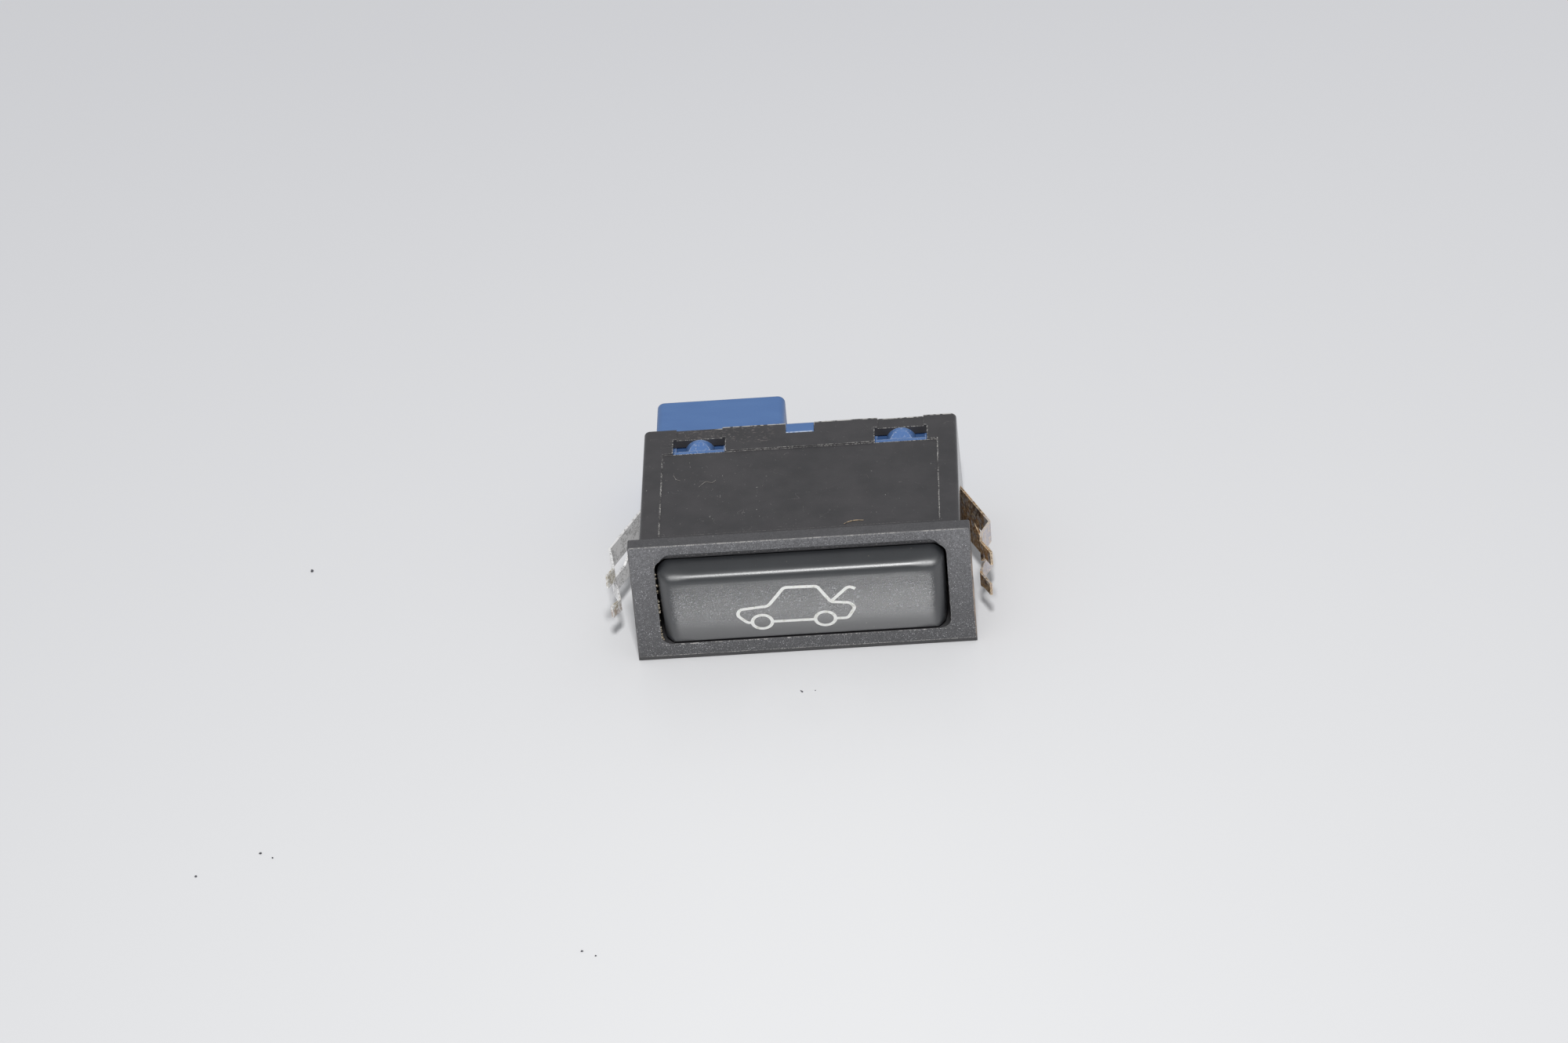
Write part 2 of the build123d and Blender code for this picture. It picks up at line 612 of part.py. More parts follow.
def lamp_terminal(x):
    """Blade, shoulder on the plate, and the leg through the lamp board."""
    leg_front = board_front - lead_tail
    with BuildPart() as terminal:
        with BuildSketch(Plane.XY.offset(blade_z - blade_t / 2)):
            blade_plan(x)
            with Locations((x, plate_front - yoke_d / 4)):
                Rectangle(blade_w + 2 * shoulder_w, yoke_d / 2)
            with Locations((x, (leg_front + plate_front) / 2)):
                Rectangle(strip_w, plate_front - leg_front)
        extrude(amount=blade_t)
    return terminal


# --- Terminals: two for the switch in the lower row, two for the lamp in the upper one -----
inner_x, outer_x = shroud_x + blade_dx, shroud_x - blade_dx
terminal_common = switch_terminal(inner_x, bridge_x + tip_dx)
terminal_common.part.label = "terminal_common"
terminal_switched = switch_terminal(outer_x, bridge_x - tip_dx)
terminal_switched.part.label = "terminal_switched"
terminal_lamp_ground = lamp_terminal(inner_x)
terminal_lamp_ground.part.label = "terminal_lamp_ground"
terminal_lamp_feed = lamp_terminal(outer_x)
terminal_lamp_feed.part.label = "terminal_lamp_feed"

# --- Lamp board ---------------------------------------------------------------------------
with BuildPart() as lamp_board:
    with BuildSketch(across(board_front)):
        board_left, board_right = outer_x - blade_w, post_x + board_side
        with Locations(((board_left + board_right) / 2, (board_low + board_high) / 2)):
            Rectangle(board_right - board_left, board_high - board_low)
        with both_sides(post_x, post_z):
            Rectangle(pin_w + 2 * slit, pin_w + 2 * slit, mode=Mode.SUBTRACT)
        with Locations((outer_x, blade_z), (inner_x, blade_z)):
            Rectangle(strip_w + 2 * slit, blade_t + 2 * slit, mode=Mode.SUBTRACT)
        with both_sides(lead_dx, led_z):
            Rectangle(lead_w + 2 * slit, lead_w + 2 * slit, mode=Mode.SUBTRACT)
        with Locations((shroud_x, post_z)):
            with both_sides(resistor_lead_dx, 0):
                RegularPolygon(lead_r + slit, 8, mode=Mode.SUBTRACT)
    extrude(amount=-board_t)
lamp_board.part.label = "lamp_board"

# --- Lamp and resistor, each with its leads through the board -----------------------------
with BuildPart() as lamp_body:
    with BuildSketch(across(led_tip)):
        with Locations((0, led_z)):
            Circle(led_r)
    extrude(amount=-led_len)
    chamfer(lamp_body.edges().group_by(Axis.Y)[0], led_rim)
    with BuildSketch(across(led_back)):
        with Locations((0, led_z)):
            Circle(led_r + led_flange)
    extrude(amount=led_flange_t)
lamp_body.part.label = "lamp_body"

with BuildPart() as lamp_leads:
    with BuildSketch(across(led_back)):
        with both_sides(lead_dx, led_z):
            Rectangle(lead_w, lead_w)
    extrude(amount=led_back - lead_rear)
lamp_leads.part.label = "lamp_leads"

with BuildPart() as resistor_body:
    with BuildSketch(Plane.YZ.offset(shroud_x)):
        with Locations((resistor_y, post_z)):
            Circle(resistor_r)
    extrude(amount=resistor_half, both=True)
resistor_body.part.label = "resistor_body"

with BuildPart() as resistor_leads:
    for side in (1, -1):
        with BuildSketch(Plane.YZ.offset(shroud_x + side * resistor_half)):
            with Locations((resistor_y, post_z)):
                RegularPolygon(lead_r, 8)
        extrude(amount=side * (resistor_lead_dx - resistor_half + lead_r))
        with BuildSketch(across(resistor_y)):
            with Locations((shroud_x + side * resistor_lead_dx, post_z)):
                RegularPolygon(lead_r, 8)
        extrude(amount=resistor_y - lead_rear)
resistor_leads.part.label = "resistor_leads"


def clip(upper, lower, side):
    """Sheet clip: a wide sloping strip that forks into an upper and a lower prong."""
    with BuildPart() as bent:
        with BuildSketch(Plane.XY.offset(clip_bottom)):
            strip(upper[:2], side)
        extrude(amount=clip_top - clip_bottom)
        side_prism(
            (fork_rear, fork_top),
            (fork_front, fork_bottom),
            (fork_front, clip_bottom),
            (0, clip_bottom),
            (0, clip_top),
            (fork_rear, clip_top),
        )
        with BuildSketch(Plane.XY.offset(fork_top)):
            strip(upper, side)
        extrude(amount=clip_top - fork_top)
        with BuildSketch(Plane.XY.offset(clip_bottom)):
            strip(lower, side)
        extrude(amount=fork_bottom - clip_bottom)
        # The tabs at the ends are a little narrower than the prongs.
        side_prism((tab_start, fork_top), (tab_full, tab_top_low), (0, tab_top_low), (0, fork_top))
        side_prism(
            (tab_start, clip_bottom), (tab_full, tab_bottom_low), (0, tab_bottom_low), (0, clip_bottom)
        )
    return bent


# --- Side clips, each set to its own spread -----------------------------------------------
clip_right = clip(right_upper, right_lower, 1)
clip_right.part.label = "clip_right"
clip_left = clip(left_upper, left_lower, -1)
clip_left.part.label = "clip_left"

os.makedirs("parts", exist_ok=True)
for piece in (
    housing,
    button_cap,
    plunger,
    light_guide,
    return_spring_right,
    return_spring_left,
    contact_spring,
    contact_bridge,
    bridge_tips,
    contact_carrier,
    terminal_common,
    terminal_switched,
    fixed_tips,
    terminal_lamp_feed,
    terminal_lamp_ground,
    lamp_board,
    lamp_body,
    lamp_leads,
    resistor_body,
    resistor_leads,
    clip_right,
    clip_left,
):
    export_step(piece.part, f"parts/{piece.part.label}.step")
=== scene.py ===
"""Tailgate push switch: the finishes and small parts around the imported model.

Every place is in the row frame: X across the button, Y rearwards, Z up, with the origin in the
middle of the bezel's back face. Sizes in the classes below are in millimetres.
"""

import logging
import math
import random
from dataclasses import dataclass
from enum import Enum

import bpy
from mathutils import Matrix, Vector
from mathutils.bvhtree import BVHTree


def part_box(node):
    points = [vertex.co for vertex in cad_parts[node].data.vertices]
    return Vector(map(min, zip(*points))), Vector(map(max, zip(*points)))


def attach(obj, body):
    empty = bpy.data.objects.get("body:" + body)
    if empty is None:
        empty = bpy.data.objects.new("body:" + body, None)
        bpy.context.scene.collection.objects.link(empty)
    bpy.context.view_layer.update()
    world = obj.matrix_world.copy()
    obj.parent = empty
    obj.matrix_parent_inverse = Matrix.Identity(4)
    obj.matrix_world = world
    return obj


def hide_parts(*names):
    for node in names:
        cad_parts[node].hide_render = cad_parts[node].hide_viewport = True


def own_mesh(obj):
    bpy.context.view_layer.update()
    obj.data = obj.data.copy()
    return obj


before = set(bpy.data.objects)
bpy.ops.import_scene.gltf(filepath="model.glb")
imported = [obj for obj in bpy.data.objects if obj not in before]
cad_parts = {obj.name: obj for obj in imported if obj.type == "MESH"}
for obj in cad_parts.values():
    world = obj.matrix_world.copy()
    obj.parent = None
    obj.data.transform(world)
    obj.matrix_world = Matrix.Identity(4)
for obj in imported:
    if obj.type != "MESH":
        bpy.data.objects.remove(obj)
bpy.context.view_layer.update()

MM = 0.001
LOG = logging.getLogger("tailgate_switch")

Socket = bpy.types.NodeSocket
Node = bpy.types.Node
Point = tuple[float, float]
Point3 = tuple[float, float, float]


def linear(colour: str) -> tuple[float, float, float, float]:
    """Turn an sRGB hex colour to linear.

    Args:
        colour: six hex digits after a hash, such as "#4a6ea8".

    Returns:
        Red, green, blue and an alpha of 1.
    """
    parts = [int(colour[i:i + 2], 16) / 255 for i in (1, 3, 5)]
    red, green, blue = (
        c / 12.92 if c <= 0.04045 else ((c + 0.055) / 1.055) ** 2.4 for c in parts
    )
    return red, green, blue, 1.0


def feed(tree: bpy.types.NodeTree, socket: Socket, value: object) -> None:
    """Link or set one input of a node.

    Args:
        tree: the node tree that holds the input.
        socket: the input.
        value: a plain value, an output to link, or a node whose first output in use is linked.
    """
    if isinstance(value, Node):
        value = next(output for output in value.outputs if output.enabled)
    if isinstance(value, Socket):
        tree.links.new(value, socket)
    else:
        socket.default_value = value


def add_node(
    tree: bpy.types.NodeTree, kind: str, inputs: dict | None = None, **settings: object
) -> Node:
    """Add a shader node with its settings and links.

    Args:
        tree: the node tree that gets the node.
        kind: the node's type without its "ShaderNode" prefix.
        inputs: for each input's name or number what feed gives it.
        settings: the node's own settings.

    Returns:
        The new node.
    """
    node = tree.nodes.new("ShaderNode" + kind)
    for name, value in settings.items():
        setattr(node, name, value)
    for key, value in (inputs or {}).items():
        feed(tree, node.inputs[key], value)
    return node


class Painter:
    """One material being made: its shader, its place in mm and the masks that finishes share."""

    def __init__(self, name: str) -> None:
        """Start an empty material.

        Args:
            name: the finish, in a maker's words.
        """
        self.material = bpy.data.materials.new(name)
        self.material.use_nodes = True
        self.tree = self.material.node_tree
        self.tree.nodes.clear()
        self.shader = self.add("BsdfPrincipled")
        self.add("OutputMaterial", {"Surface": self.shader})
        coordinates = self.add("TexCoord")
        self.place = self.add(
            "VectorMath", {0: coordinates.outputs["Object"], "Scale": 1 / MM}, operation="SCALE"
        )
        axes = self.add("SeparateXYZ", {0: self.place})
        self.x, self.y, self.z = (axes.outputs[axis] for axis in "XYZ")
        facing = self.add("SeparateXYZ", {0: coordinates.outputs["Normal"]})
        self.nx, self.ny, self.nz = (facing.outputs[axis] for axis in "XYZ")

    def add(self, kind: str, inputs: dict | None = None, **settings: object) -> Node:
        """Add a node to this material, as add_node does."""
        return add_node(self.tree, kind, inputs, **settings)

    def set(self, **inputs: object) -> None:
        """Set or link the shader's inputs, with underscores for spaces in their names."""
        for name, value in inputs.items():
            feed(self.tree, self.shader.inputs[name.replace("_", " ")], value)

    def away(self, value: Socket | Node, centre: float = 0.0) -> Node:
        """Measure how far a value lies from a centre, to either side.

        Args:
            value: the value looked at, such as a coordinate in mm.
            centre: the place measured from.

        Returns:
            The node that gives the distance.
        """
        away = self.add("Math", {0: value, 1: centre}, operation="SUBTRACT")
        return self.add("Math", {0: away}, operation="ABSOLUTE")

    def band(self, value: Socket | Node, centre: float, half: float, soft: float) -> Node:
        """Mask that is 1 where a value lies near a centre.

        Args:
            value: the value looked at, such as a coordinate in mm.
            centre: the middle of the band.
            half: half the band's width.
            soft: the width over which the mask fades out.

        Returns:
            The node that gives the mask.
        """
        return self.add(
            "MapRange",
            {"Value": self.away(value, centre), "From Min": half + soft, "From Max": half},
            interpolation_type="SMOOTHSTEP",
        )

    def outline(
        self, x: Socket | Node, y: Socket | Node, centre: Point, half: Point, width: float
    ) -> Node:
        """Mask along the outline of a rectangle.

        Args:
            x: the first coordinate in mm.
            y: the second coordinate in mm.
            centre: the rectangle's middle.
            half: half its sides.
            width: the line's width in mm.

        Returns:
            The node that gives the mask.
        """
        sides = []
        for value, middle, reach in zip((x, y), centre, half):
            away = self.away(value, middle)
            sides.append(self.add("Math", {0: away, 1: reach}, operation="SUBTRACT"))
        beyond = self.add("Math", {0: sides[0], 1: sides[1]}, operation="MAXIMUM")
        return self.band(beyond, 0.0, width / 2, width / 2)

    def patches(
        self, size: float, cover: float, soft: float = 0.06, detail: float = 3.0,
        stretch: Point3 = (1.0, 1.0, 1.0),
    ) -> Node:
        """Mask of irregular patches.

        Args:
            size: the size of a patch in mm.
            cover: the noise level above which a patch shows; 0.5 covers about half.
            soft: how softly a patch ends.
            detail: octaves of finer outline.
            stretch: how many times finer the patches are along each axis.

        Returns:
            The node that gives the mask.
        """
        place = self.add("VectorMath", {0: self.place, 1: stretch}, operation="MULTIPLY")
        noise = self.add(
            "TexNoise", {"Vector": place, "Scale": 1 / size, "Detail": detail, "Roughness": 0.6}
        )
        return self.add(
            "MapRange",
            {"Value": noise.outputs[0], "From Min": cover - soft, "From Max": cover + soft},
            interpolation_type="SMOOTHSTEP",
        )

    def specks(self, size: float, share: float, reach: float = 0.3) -> Node:
        """Mask of small ragged specks, one at most in each cell.

        Args:
            size: the distance between cells in mm.
            share: the share of cells with a speck.
            reach: a speck's radius as a part of its cell.

        Returns:
            The node that gives the mask.
        """
        ragged = self.add("TexNoise", {"Vector": self.place, "Scale": 2.5 / size, "Detail": 2.0})
        ragged = self.add(
            "VectorMath", {0: ragged.outputs["Color"], "Scale": size * 0.7}, operation="SCALE"
        )
        place = self.add("VectorMath", {0: self.place, 1: ragged}, operation="ADD")
        cells = self.add("TexVoronoi", {"Vector": place, "Scale": 1 / size})
        lot = self.add("SeparateColor", {0: cells.outputs["Color"]})
        chosen = self.add("Math", {0: lot, 1: share}, operation="LESS_THAN")
        dot = self.add(
            "MapRange",
            {"Value": cells.outputs["Distance"], "From Min": reach, "From Max": reach * 0.6},
        )
        return self.add("Math", {0: chosen, 1: dot}, operation="MULTIPLY")

    def both(self, *masks: Node | Socket | float) -> Node:
        """Multiply masks into one.

        Args:
            masks: masks or plain factors.

        Returns:
            The node that gives their product.
        """
        product = masks[0]
        for mask in masks[1:]:
            product = self.add("Math", {0: product, 1: mask}, operation="MULTIPLY")
        return product

    def worn_edge(self, radius: float, start: float = 0.02, full: float = 0.2) -> Node:
        """Mask along sharp edges, where handling rubs first.

        Args:
            radius: the reach of the wear from the edge, in mm.
            start: how far the rounded normal turns before wear shows.
            full: how far it turns where wear is full.

        Returns:
            The node that gives the mask.
        """
        rounded = self.add("Bevel", {"Radius": radius * MM}, samples=6)
        flat = self.add("NewGeometry").outputs["Normal"]
        turn = self.add("VectorMath", {0: rounded, 1: flat}, operation="DOT_PRODUCT")
        turn = turn.outputs["Value"]
        return self.add("MapRange", {"Value": turn, "From Min": 1 - start, "From Max": 1 - full})

    def coats(self, base: str, *layers: tuple) -> Node:
        """Lay colours over each other like coats, each through its own masks.

        Args:
            base: the lowest colour, as hex.
            layers: the coats from the lowest up, each as its colour, as a node or hex, and the
                masks and plain factors that say how much of it shows.

        Returns:
            The node that gives the colour seen.
        """
        tone = linear(base)
        for colour, *masks in layers:
            above = linear(colour) if isinstance(colour, str) else colour
            tone = self.add("Mix", {0: self.both(*masks), 6: tone, 7: above}, data_type="RGBA")
        return tone

    def relief(self, height: Node | Socket, depth: float, rounding: Node | float = 0.0) -> Node:
        """Turn a height pattern to a surface relief, over rounded edges if asked.

        Args:
            height: the pattern, from 0 to 1.
            depth: its depth in mm.
            rounding: the radius of the small rounding on every sharp edge, in mm.

        Returns:
            The node that gives the normal.
        """
        inputs = {"Height": height, "Distance": depth * MM}
        if rounding:
            radius = self.add("Math", {0: rounding, 1: MM}, operation="MULTIPLY")
            inputs["Normal"] = self.add("Bevel", {"Radius": radius}, samples=6)
        return self.add("Bump", inputs)


@dataclass(frozen=True)
class Finish:
    """A surface as made: its name, its colours and how it takes the light."""

    name: str
    colour: str
    roughness: float = 0.5
    metallic: float = 0.0

    def paint(self) -> bpy.types.Material:
        """Make the material.

        Returns:
            The finished material.
        """
        brush = Painter(self.name)
        brush.set(Roughness=self.roughness, Metallic=self.metallic)
        self.work(brush)
        brush.material.diffuse_color = linear(self.colour)
        return brush.material

    def work(self, brush: Painter) -> None:
        """Add what the surface shows close up.

        Args:
            brush: the material being made.
        """
        raise NotImplementedError


@dataclass(frozen=True)
class MouldedNylon(Finish):
    """Glass-filled black nylon from a steel tool: eroded grain on the bezel, satin box, scuffs."""

    bezel: str = "#515153"
    painted_top_light: str = "#7c7c7f"
    pit: str = "#3c3c3e"
    tip: str = "#a9a9ad"
    spark: str = "#e4e4e8"
    shaded: str = "#1d1d1f"
    clouded: str = "#3b3a3c"
    scuff: str = "#cfccc8"
    rub: str = "#a09693"
    rust_rub: str = "#c9ad94"
    wall_roughness: float = 0.16
    grain: float = 0.2
    bezel_rear: float = 0.05
    # Rectangles: the middle and half the sides. Other pairs of a coordinate: where a wear starts
    # and where it is full.
    rim: tuple[Point, Point] = ((0.0, 0.35), (21.88, 8.42))
    rim_fade: Point = (21.8, 21.4)
    rim_front: float = -1.55
    mouth: tuple[Point, Point] = ((0.0, 0.35), (18.75, 6.75))
    lip_front: float = -0.75
    foot: float = -7.9
    painted_top_light_z: Point = (-8.0, 8.5)
    panel: tuple[Point, Point] = ((0.0, 12.4), (18.15, 9.9))
    panel_front: Point = (2.8, 3.6)
    window: tuple[Point, Point] = ((13.35, 24.0), (3.45, 1.7))
    ticks_x: Point = (6.0, -14.0)
    smudge: tuple[Point, Point] = ((-10.5, 26.2), (5.5, 2.0))
    box_rear: float = 28.1
    rear_line_x: Point = (-11.5, -10.5)
    end_wall: Point = (21.8, 21.95)
    end_rub: Point = (-1.5, 4.5)

    def grained(self, brush: Painter) -> tuple[Node, Node, Node]:
        """Make the bezel's spark-eroded skin.

        Args:
            brush: the material being made.

        Returns:
            Its colour, its height and where it lies.
        """
        on_bezel = brush.add("Math", {0: brush.y, 1: self.bezel_rear}, operation="LESS_THAN")
        front = brush.add("MapRange", {"Value": brush.ny, "From Min": -0.8, "From Max": -0.96})
        # Pits and tips about a fifth of a millimetre across: the tips catch the light as pale
        # specks, more of them in some places than in others.
        pits = brush.patches(self.grain, 0.5, 0.14, 3.0)
        tips = brush.patches(self.grain * 0.6, 0.6, 0.05, 2.0)
        crowd = brush.add("MapRange", {"Value": brush.patches(1.8, 0.5, 0.25, 4.0), "To Min": 0.25})
        sparks = brush.both(brush.specks(self.grain * 1.1, 0.6, 0.28), crowd, front)
        # Painted light: the bezel is painted paler from its lower bar up to its upper one, where
        # more light falls.
        dark, pale = self.painted_top_light_z
        painted_top_light = brush.add("MapRange", {"Value": brush.z, "From Min": dark, "From Max": pale})
        # Painted shade: the downward faces along the bezel's foot are painted near black.
        under = brush.add("MapRange", {"Value": brush.nz, "From Min": -0.2, "From Max": -0.4})
        foot = brush.add("Math", {0: brush.z, 1: self.foot}, operation="LESS_THAN")
        colour = brush.coats(
            self.bezel,
            (self.painted_top_light, painted_top_light),
            (self.pit, pits, 0.5),
            (self.tip, tips, crowd, front, 0.6),
            (self.spark, sparks, 0.75),
            (self.shaded, under, foot, 0.9),
        )
        height = brush.add("Math", {0: tips, 1: pits}, operation="SUBTRACT")
        place = brush.both(on_bezel, brush.add("MapRange", {"Value": front, "To Min": 0.3}))
        return colour, height, place

    def rim_wear_and_highlight(self, brush: Painter) -> Node:
        """Mask the pale lines along the bezel's outer rim and the rim of its mouth: worn edges with
        a painted highlight along them.

        Args:
            brush: the material being made.

        Returns:
            The node that gives the mask.
        """
        front = brush.add("Math", {0: brush.y, 1: self.rim_front}, operation="LESS_THAN")
        # The pale line is fainter along the rim's short ends than along its long ones.
        least, full = self.rim_fade
        side = brush.away(brush.x)
        side = brush.add(
            "MapRange", {"Value": side, "From Min": least, "From Max": full, "To Min": 0.25}
        )
        outer = brush.both(
            brush.outline(brush.x, brush.z, *self.rim, 0.08),
            brush.patches(0.2, 0.48, 0.08, 3.0),
            brush.patches(3.0, 0.42, 0.15),
            side,
        )
        inner = brush.both(
            brush.outline(brush.x, brush.z, *self.mouth, 0.1),
            brush.patches(0.3, 0.57, 0.05, 4.0),
            brush.add("Math", {0: brush.y, 1: self.lip_front}, operation="LESS_THAN"),
        )
        return brush.add("Math", {0: brush.both(outer, front, 0.7), 1: inner}, operation="MAXIMUM")

    def scuffs(self, brush: Painter, up: Node) -> Node:
        """Mask the pale broken lines that the panel opening wore on the box's raised outlines.

        Args:
            brush: the material being made.
            up: where the surface faces up.

        Returns:
            The node that gives the mask.
        """
        # The bezel shelters the front line of the panel's outline.
        sheltered, bare = self.panel_front
        behind = brush.add(
            "MapRange", {"Value": brush.y, "From Min": sheltered, "From Max": bare, "To Min": 0.2}
        )
        panel = brush.both(
            brush.outline(brush.x, brush.y, *self.panel, 0.1),
            brush.patches(0.25, 0.5, 0.05, 4.0),
            brush.patches(2.4, 0.45, 0.1),
            behind,
        )
        frames = brush.outline(brush.away(brush.x), brush.y, *self.window, 0.16)
        frames = brush.both(frames, brush.patches(0.25, 0.54, 0.04, 5.0), 0.85)
        # Pale broken line along the rear edge of the box and of its key notch, from about x -11
        # rightwards.
        start, full = self.rear_line_x
        rear_line = brush.add("MapRange", {"Value": brush.x, "From Min": start, "From Max": full})
        edge = brush.band(brush.y, self.box_rear, 0.16, 0.08)
        edge = brush.both(edge, brush.patches(0.7, 0.47, 0.06, 5.0), rear_line)
        lines = brush.add("Math", {0: panel, 1: frames}, operation="MAXIMUM")
        lines = brush.add("Math", {0: lines, 1: edge}, operation="MAXIMUM")
        return brush.both(lines, up)

    def handling(self, brush: Painter, up: Node) -> list[tuple]:
        """Collect the marks of years of handling, and the painted highlight along the rim.

        Args:
            brush: the material being made.
            up: where the surface faces up.

        Returns:
            The coats that show them, from the lowest up.
        """
        # Hair scratches: long thin lines in all directions, a few to the square centimetre.
        hair = brush.add(
            "TexNoise", {"Vector": brush.place, "Scale": 0.3, "Detail": 2.0, "Distortion": 0.4}
        )
        hair = brush.both(brush.band(hair, 0.5, 0.0006, 0.0016), brush.patches(2.2, 0.6, 0.04), up)
        # Short ticks: knocks about a millimetre long, most of them on the left of the roof.
        ticks = brush.patches(0.5, 0.7, 0.02, 4.0, (2.6, 0.7, 1.0))
        few, most = self.ticks_x
        left = brush.add(
            "MapRange", {"Value": brush.x, "From Min": few, "From Max": most, "To Min": 0.25}
        )
        ticks = brush.both(ticks, left, up)
        # Handling: the rear bar has warm grey smudges round its left window and before the hood.
        (middle_x, middle_y), (half_x, half_y) = self.smudge
        smudges = brush.both(
            brush.band(brush.x, middle_x, half_x, 3.0),
            brush.band(brush.y, middle_y, half_y, 0.6),
            brush.patches(0.4, 0.6, 0.05, 6.0, (0.8, 1.3, 1.0)),
            up,
        )
        edges = brush.both(brush.worn_edge(0.12), brush.patches(0.5, 0.52, 0.06, 5.0))
        motes = brush.both(brush.specks(0.6, 0.1, 0.14), brush.patches(3.0, 0.52, 0.12), up)
        # The rusty clip beside the bezel's right end has left its brown on it.
        start, full = self.end_wall
        end = brush.add("MapRange", {"Value": brush.x, "From Min": start, "From Max": full})
        end = brush.both(
            end, brush.patches(1.2, 0.45, 0.2, 4.0), brush.band(brush.z, *self.end_rub, 3.0)
        )
        return [
            (self.rub, smudges, 0.3),
            (self.scuff, self.scuffs(brush, up), 0.85),
            (self.scuff, hair, 0.25),
            (self.scuff, ticks, 0.4),
            (self.scuff, edges, 0.3),
            (self.scuff, motes, 0.7),
            # Pale lines along the rim and the mouth: worn edges with a painted highlight.
            (self.scuff, self.rim_wear_and_highlight(brush), 0.75),
            (self.rust_rub, end, 0.7),
        ]

    def work(self, brush: Painter) -> None:
        """Lay grain, scratches, scuffed outlines, worn edges, painted light and painted shade over
        the black.

        Args:
            brush: the material being made.
        """
        up = brush.add("MapRange", {"Value": brush.nz, "From Min": 0.6, "From Max": 0.9})
        face, relief, grainy = self.grained(brush)
        tone = brush.coats(
            self.colour,
            (self.clouded, brush.patches(5.0, 0.5, 0.25, 5.0)),
            (face, grainy),
            *self.handling(brush, up),
        )
        relief = brush.both(relief, grainy)
        skin = brush.patches(0.12, 0.5, 0.3, 2.0)
        relief = brush.add("Math", {0: skin, 1: 0.2, 2: relief}, operation="MULTIPLY_ADD")
        # The box's side walls slid off polished steel, so they mirror the room at a low angle.
        wall = brush.add(
            "MapRange", {"Value": brush.away(brush.nx), "From Min": 0.8, "From Max": 0.97}
        )
        gloss = brush.add(
            "MapRange", {"Value": wall, "To Min": self.roughness, "To Max": self.wall_roughness}
        )
        gloss = brush.add("MapRange", {"Value": grainy, "To Min": gloss, "To Max": 0.6})
        normal = brush.relief(relief, depth=0.02, rounding=0.1)
        brush.set(Base_Color=tone, Roughness=gloss, IOR=1.53, Normal=normal)


@dataclass(frozen=True)
class TexturedCap(Finish):
    """Dark grey ABS with a fine matt tool texture, polished by fingers across its middle, where
    pale grain tips are a painted sheen.
    """

    shade: str = "#2a2c2f"
    tip: str = "#8c8e92"
    dust: str = "#8f867c"
    polished: float = 0.25
    # The polished band's middle, half width and fade; the band also carries the painted sheen.
    polished_and_lit_z: Point3 = (0.6, 1.9, 2.6)
    # The edges' radius along the ridge and at the ends, and where along X it grows.
    edge_radius: Point = (0.45, 1.5)
    end_x: Point = (14.0, 16.0)
    # How far up a surface faces where the slope's matt starts and where it is full.
    slope_facing: Point = (0.78, 0.93)
    slope_roughness: float = 0.48
    grease: float = 0.9

    def work(self, brush: Painter) -> None:
        """Lay the texture, the finger-polished middle with its painted sheen, and fine dust over
        the grey.

        Args:
            brush: the material being made.
        """
        grain = brush.patches(0.16, 0.5, 0.2, 2.0)
        front = brush.add("MapRange", {"Value": brush.ny, "From Min": -0.9, "From Max": -0.99})
        rubbed_and_lit = brush.both(brush.band(brush.z, *self.polished_and_lit_z), front)
        grain = brush.both(grain, brush.add("MapRange", {"Value": rubbed_and_lit, "To Min": 0.25}))
        # The ends of the pillow are far softer than the ridge along its top.
        (start, full), (ridge, softest) = self.end_x, self.edge_radius
        end = brush.add(
            "MapRange",
            {
                "Value": brush.away(brush.x), "From Min": start, "From Max": full,
                "To Min": ridge, "To Max": softest,
            },
        )
        tips = brush.patches(0.16, 0.6, 0.06, 2.0)
        gloss = brush.add(
            "MapRange", {"Value": rubbed_and_lit, "To Min": self.roughness, "To Max": self.polished}
        )
        # Only the sloping top, which no finger touches, keeps the tool's full matt.
        start, full = self.slope_facing
        slope = brush.add("MapRange", {"Value": brush.nz, "From Min": start, "From Max": full})
        gloss = brush.add(
            "MapRange", {"Value": slope, "To Min": gloss, "To Max": self.slope_roughness}
        )
        # Hand grease fills the texture, so the cap mirrors more than bare ABS does.
        brush.set(
            Base_Color=brush.coats(
                self.colour,
                (self.shade, brush.patches(6.0, 0.5, 0.3, 4.0)),
                # Painted sheen: the grain's tips across the polished middle are painted pale grey.
                (self.tip, tips, rubbed_and_lit, 0.6),
                (self.dust, brush.specks(0.5, 0.05, 0.2), 0.5),
            ),
            Roughness=gloss,
            IOR=1.55,
            Specular_IOR_Level=self.grease,
            Normal=brush.relief(grain, depth=0.012, rounding=end),
        )


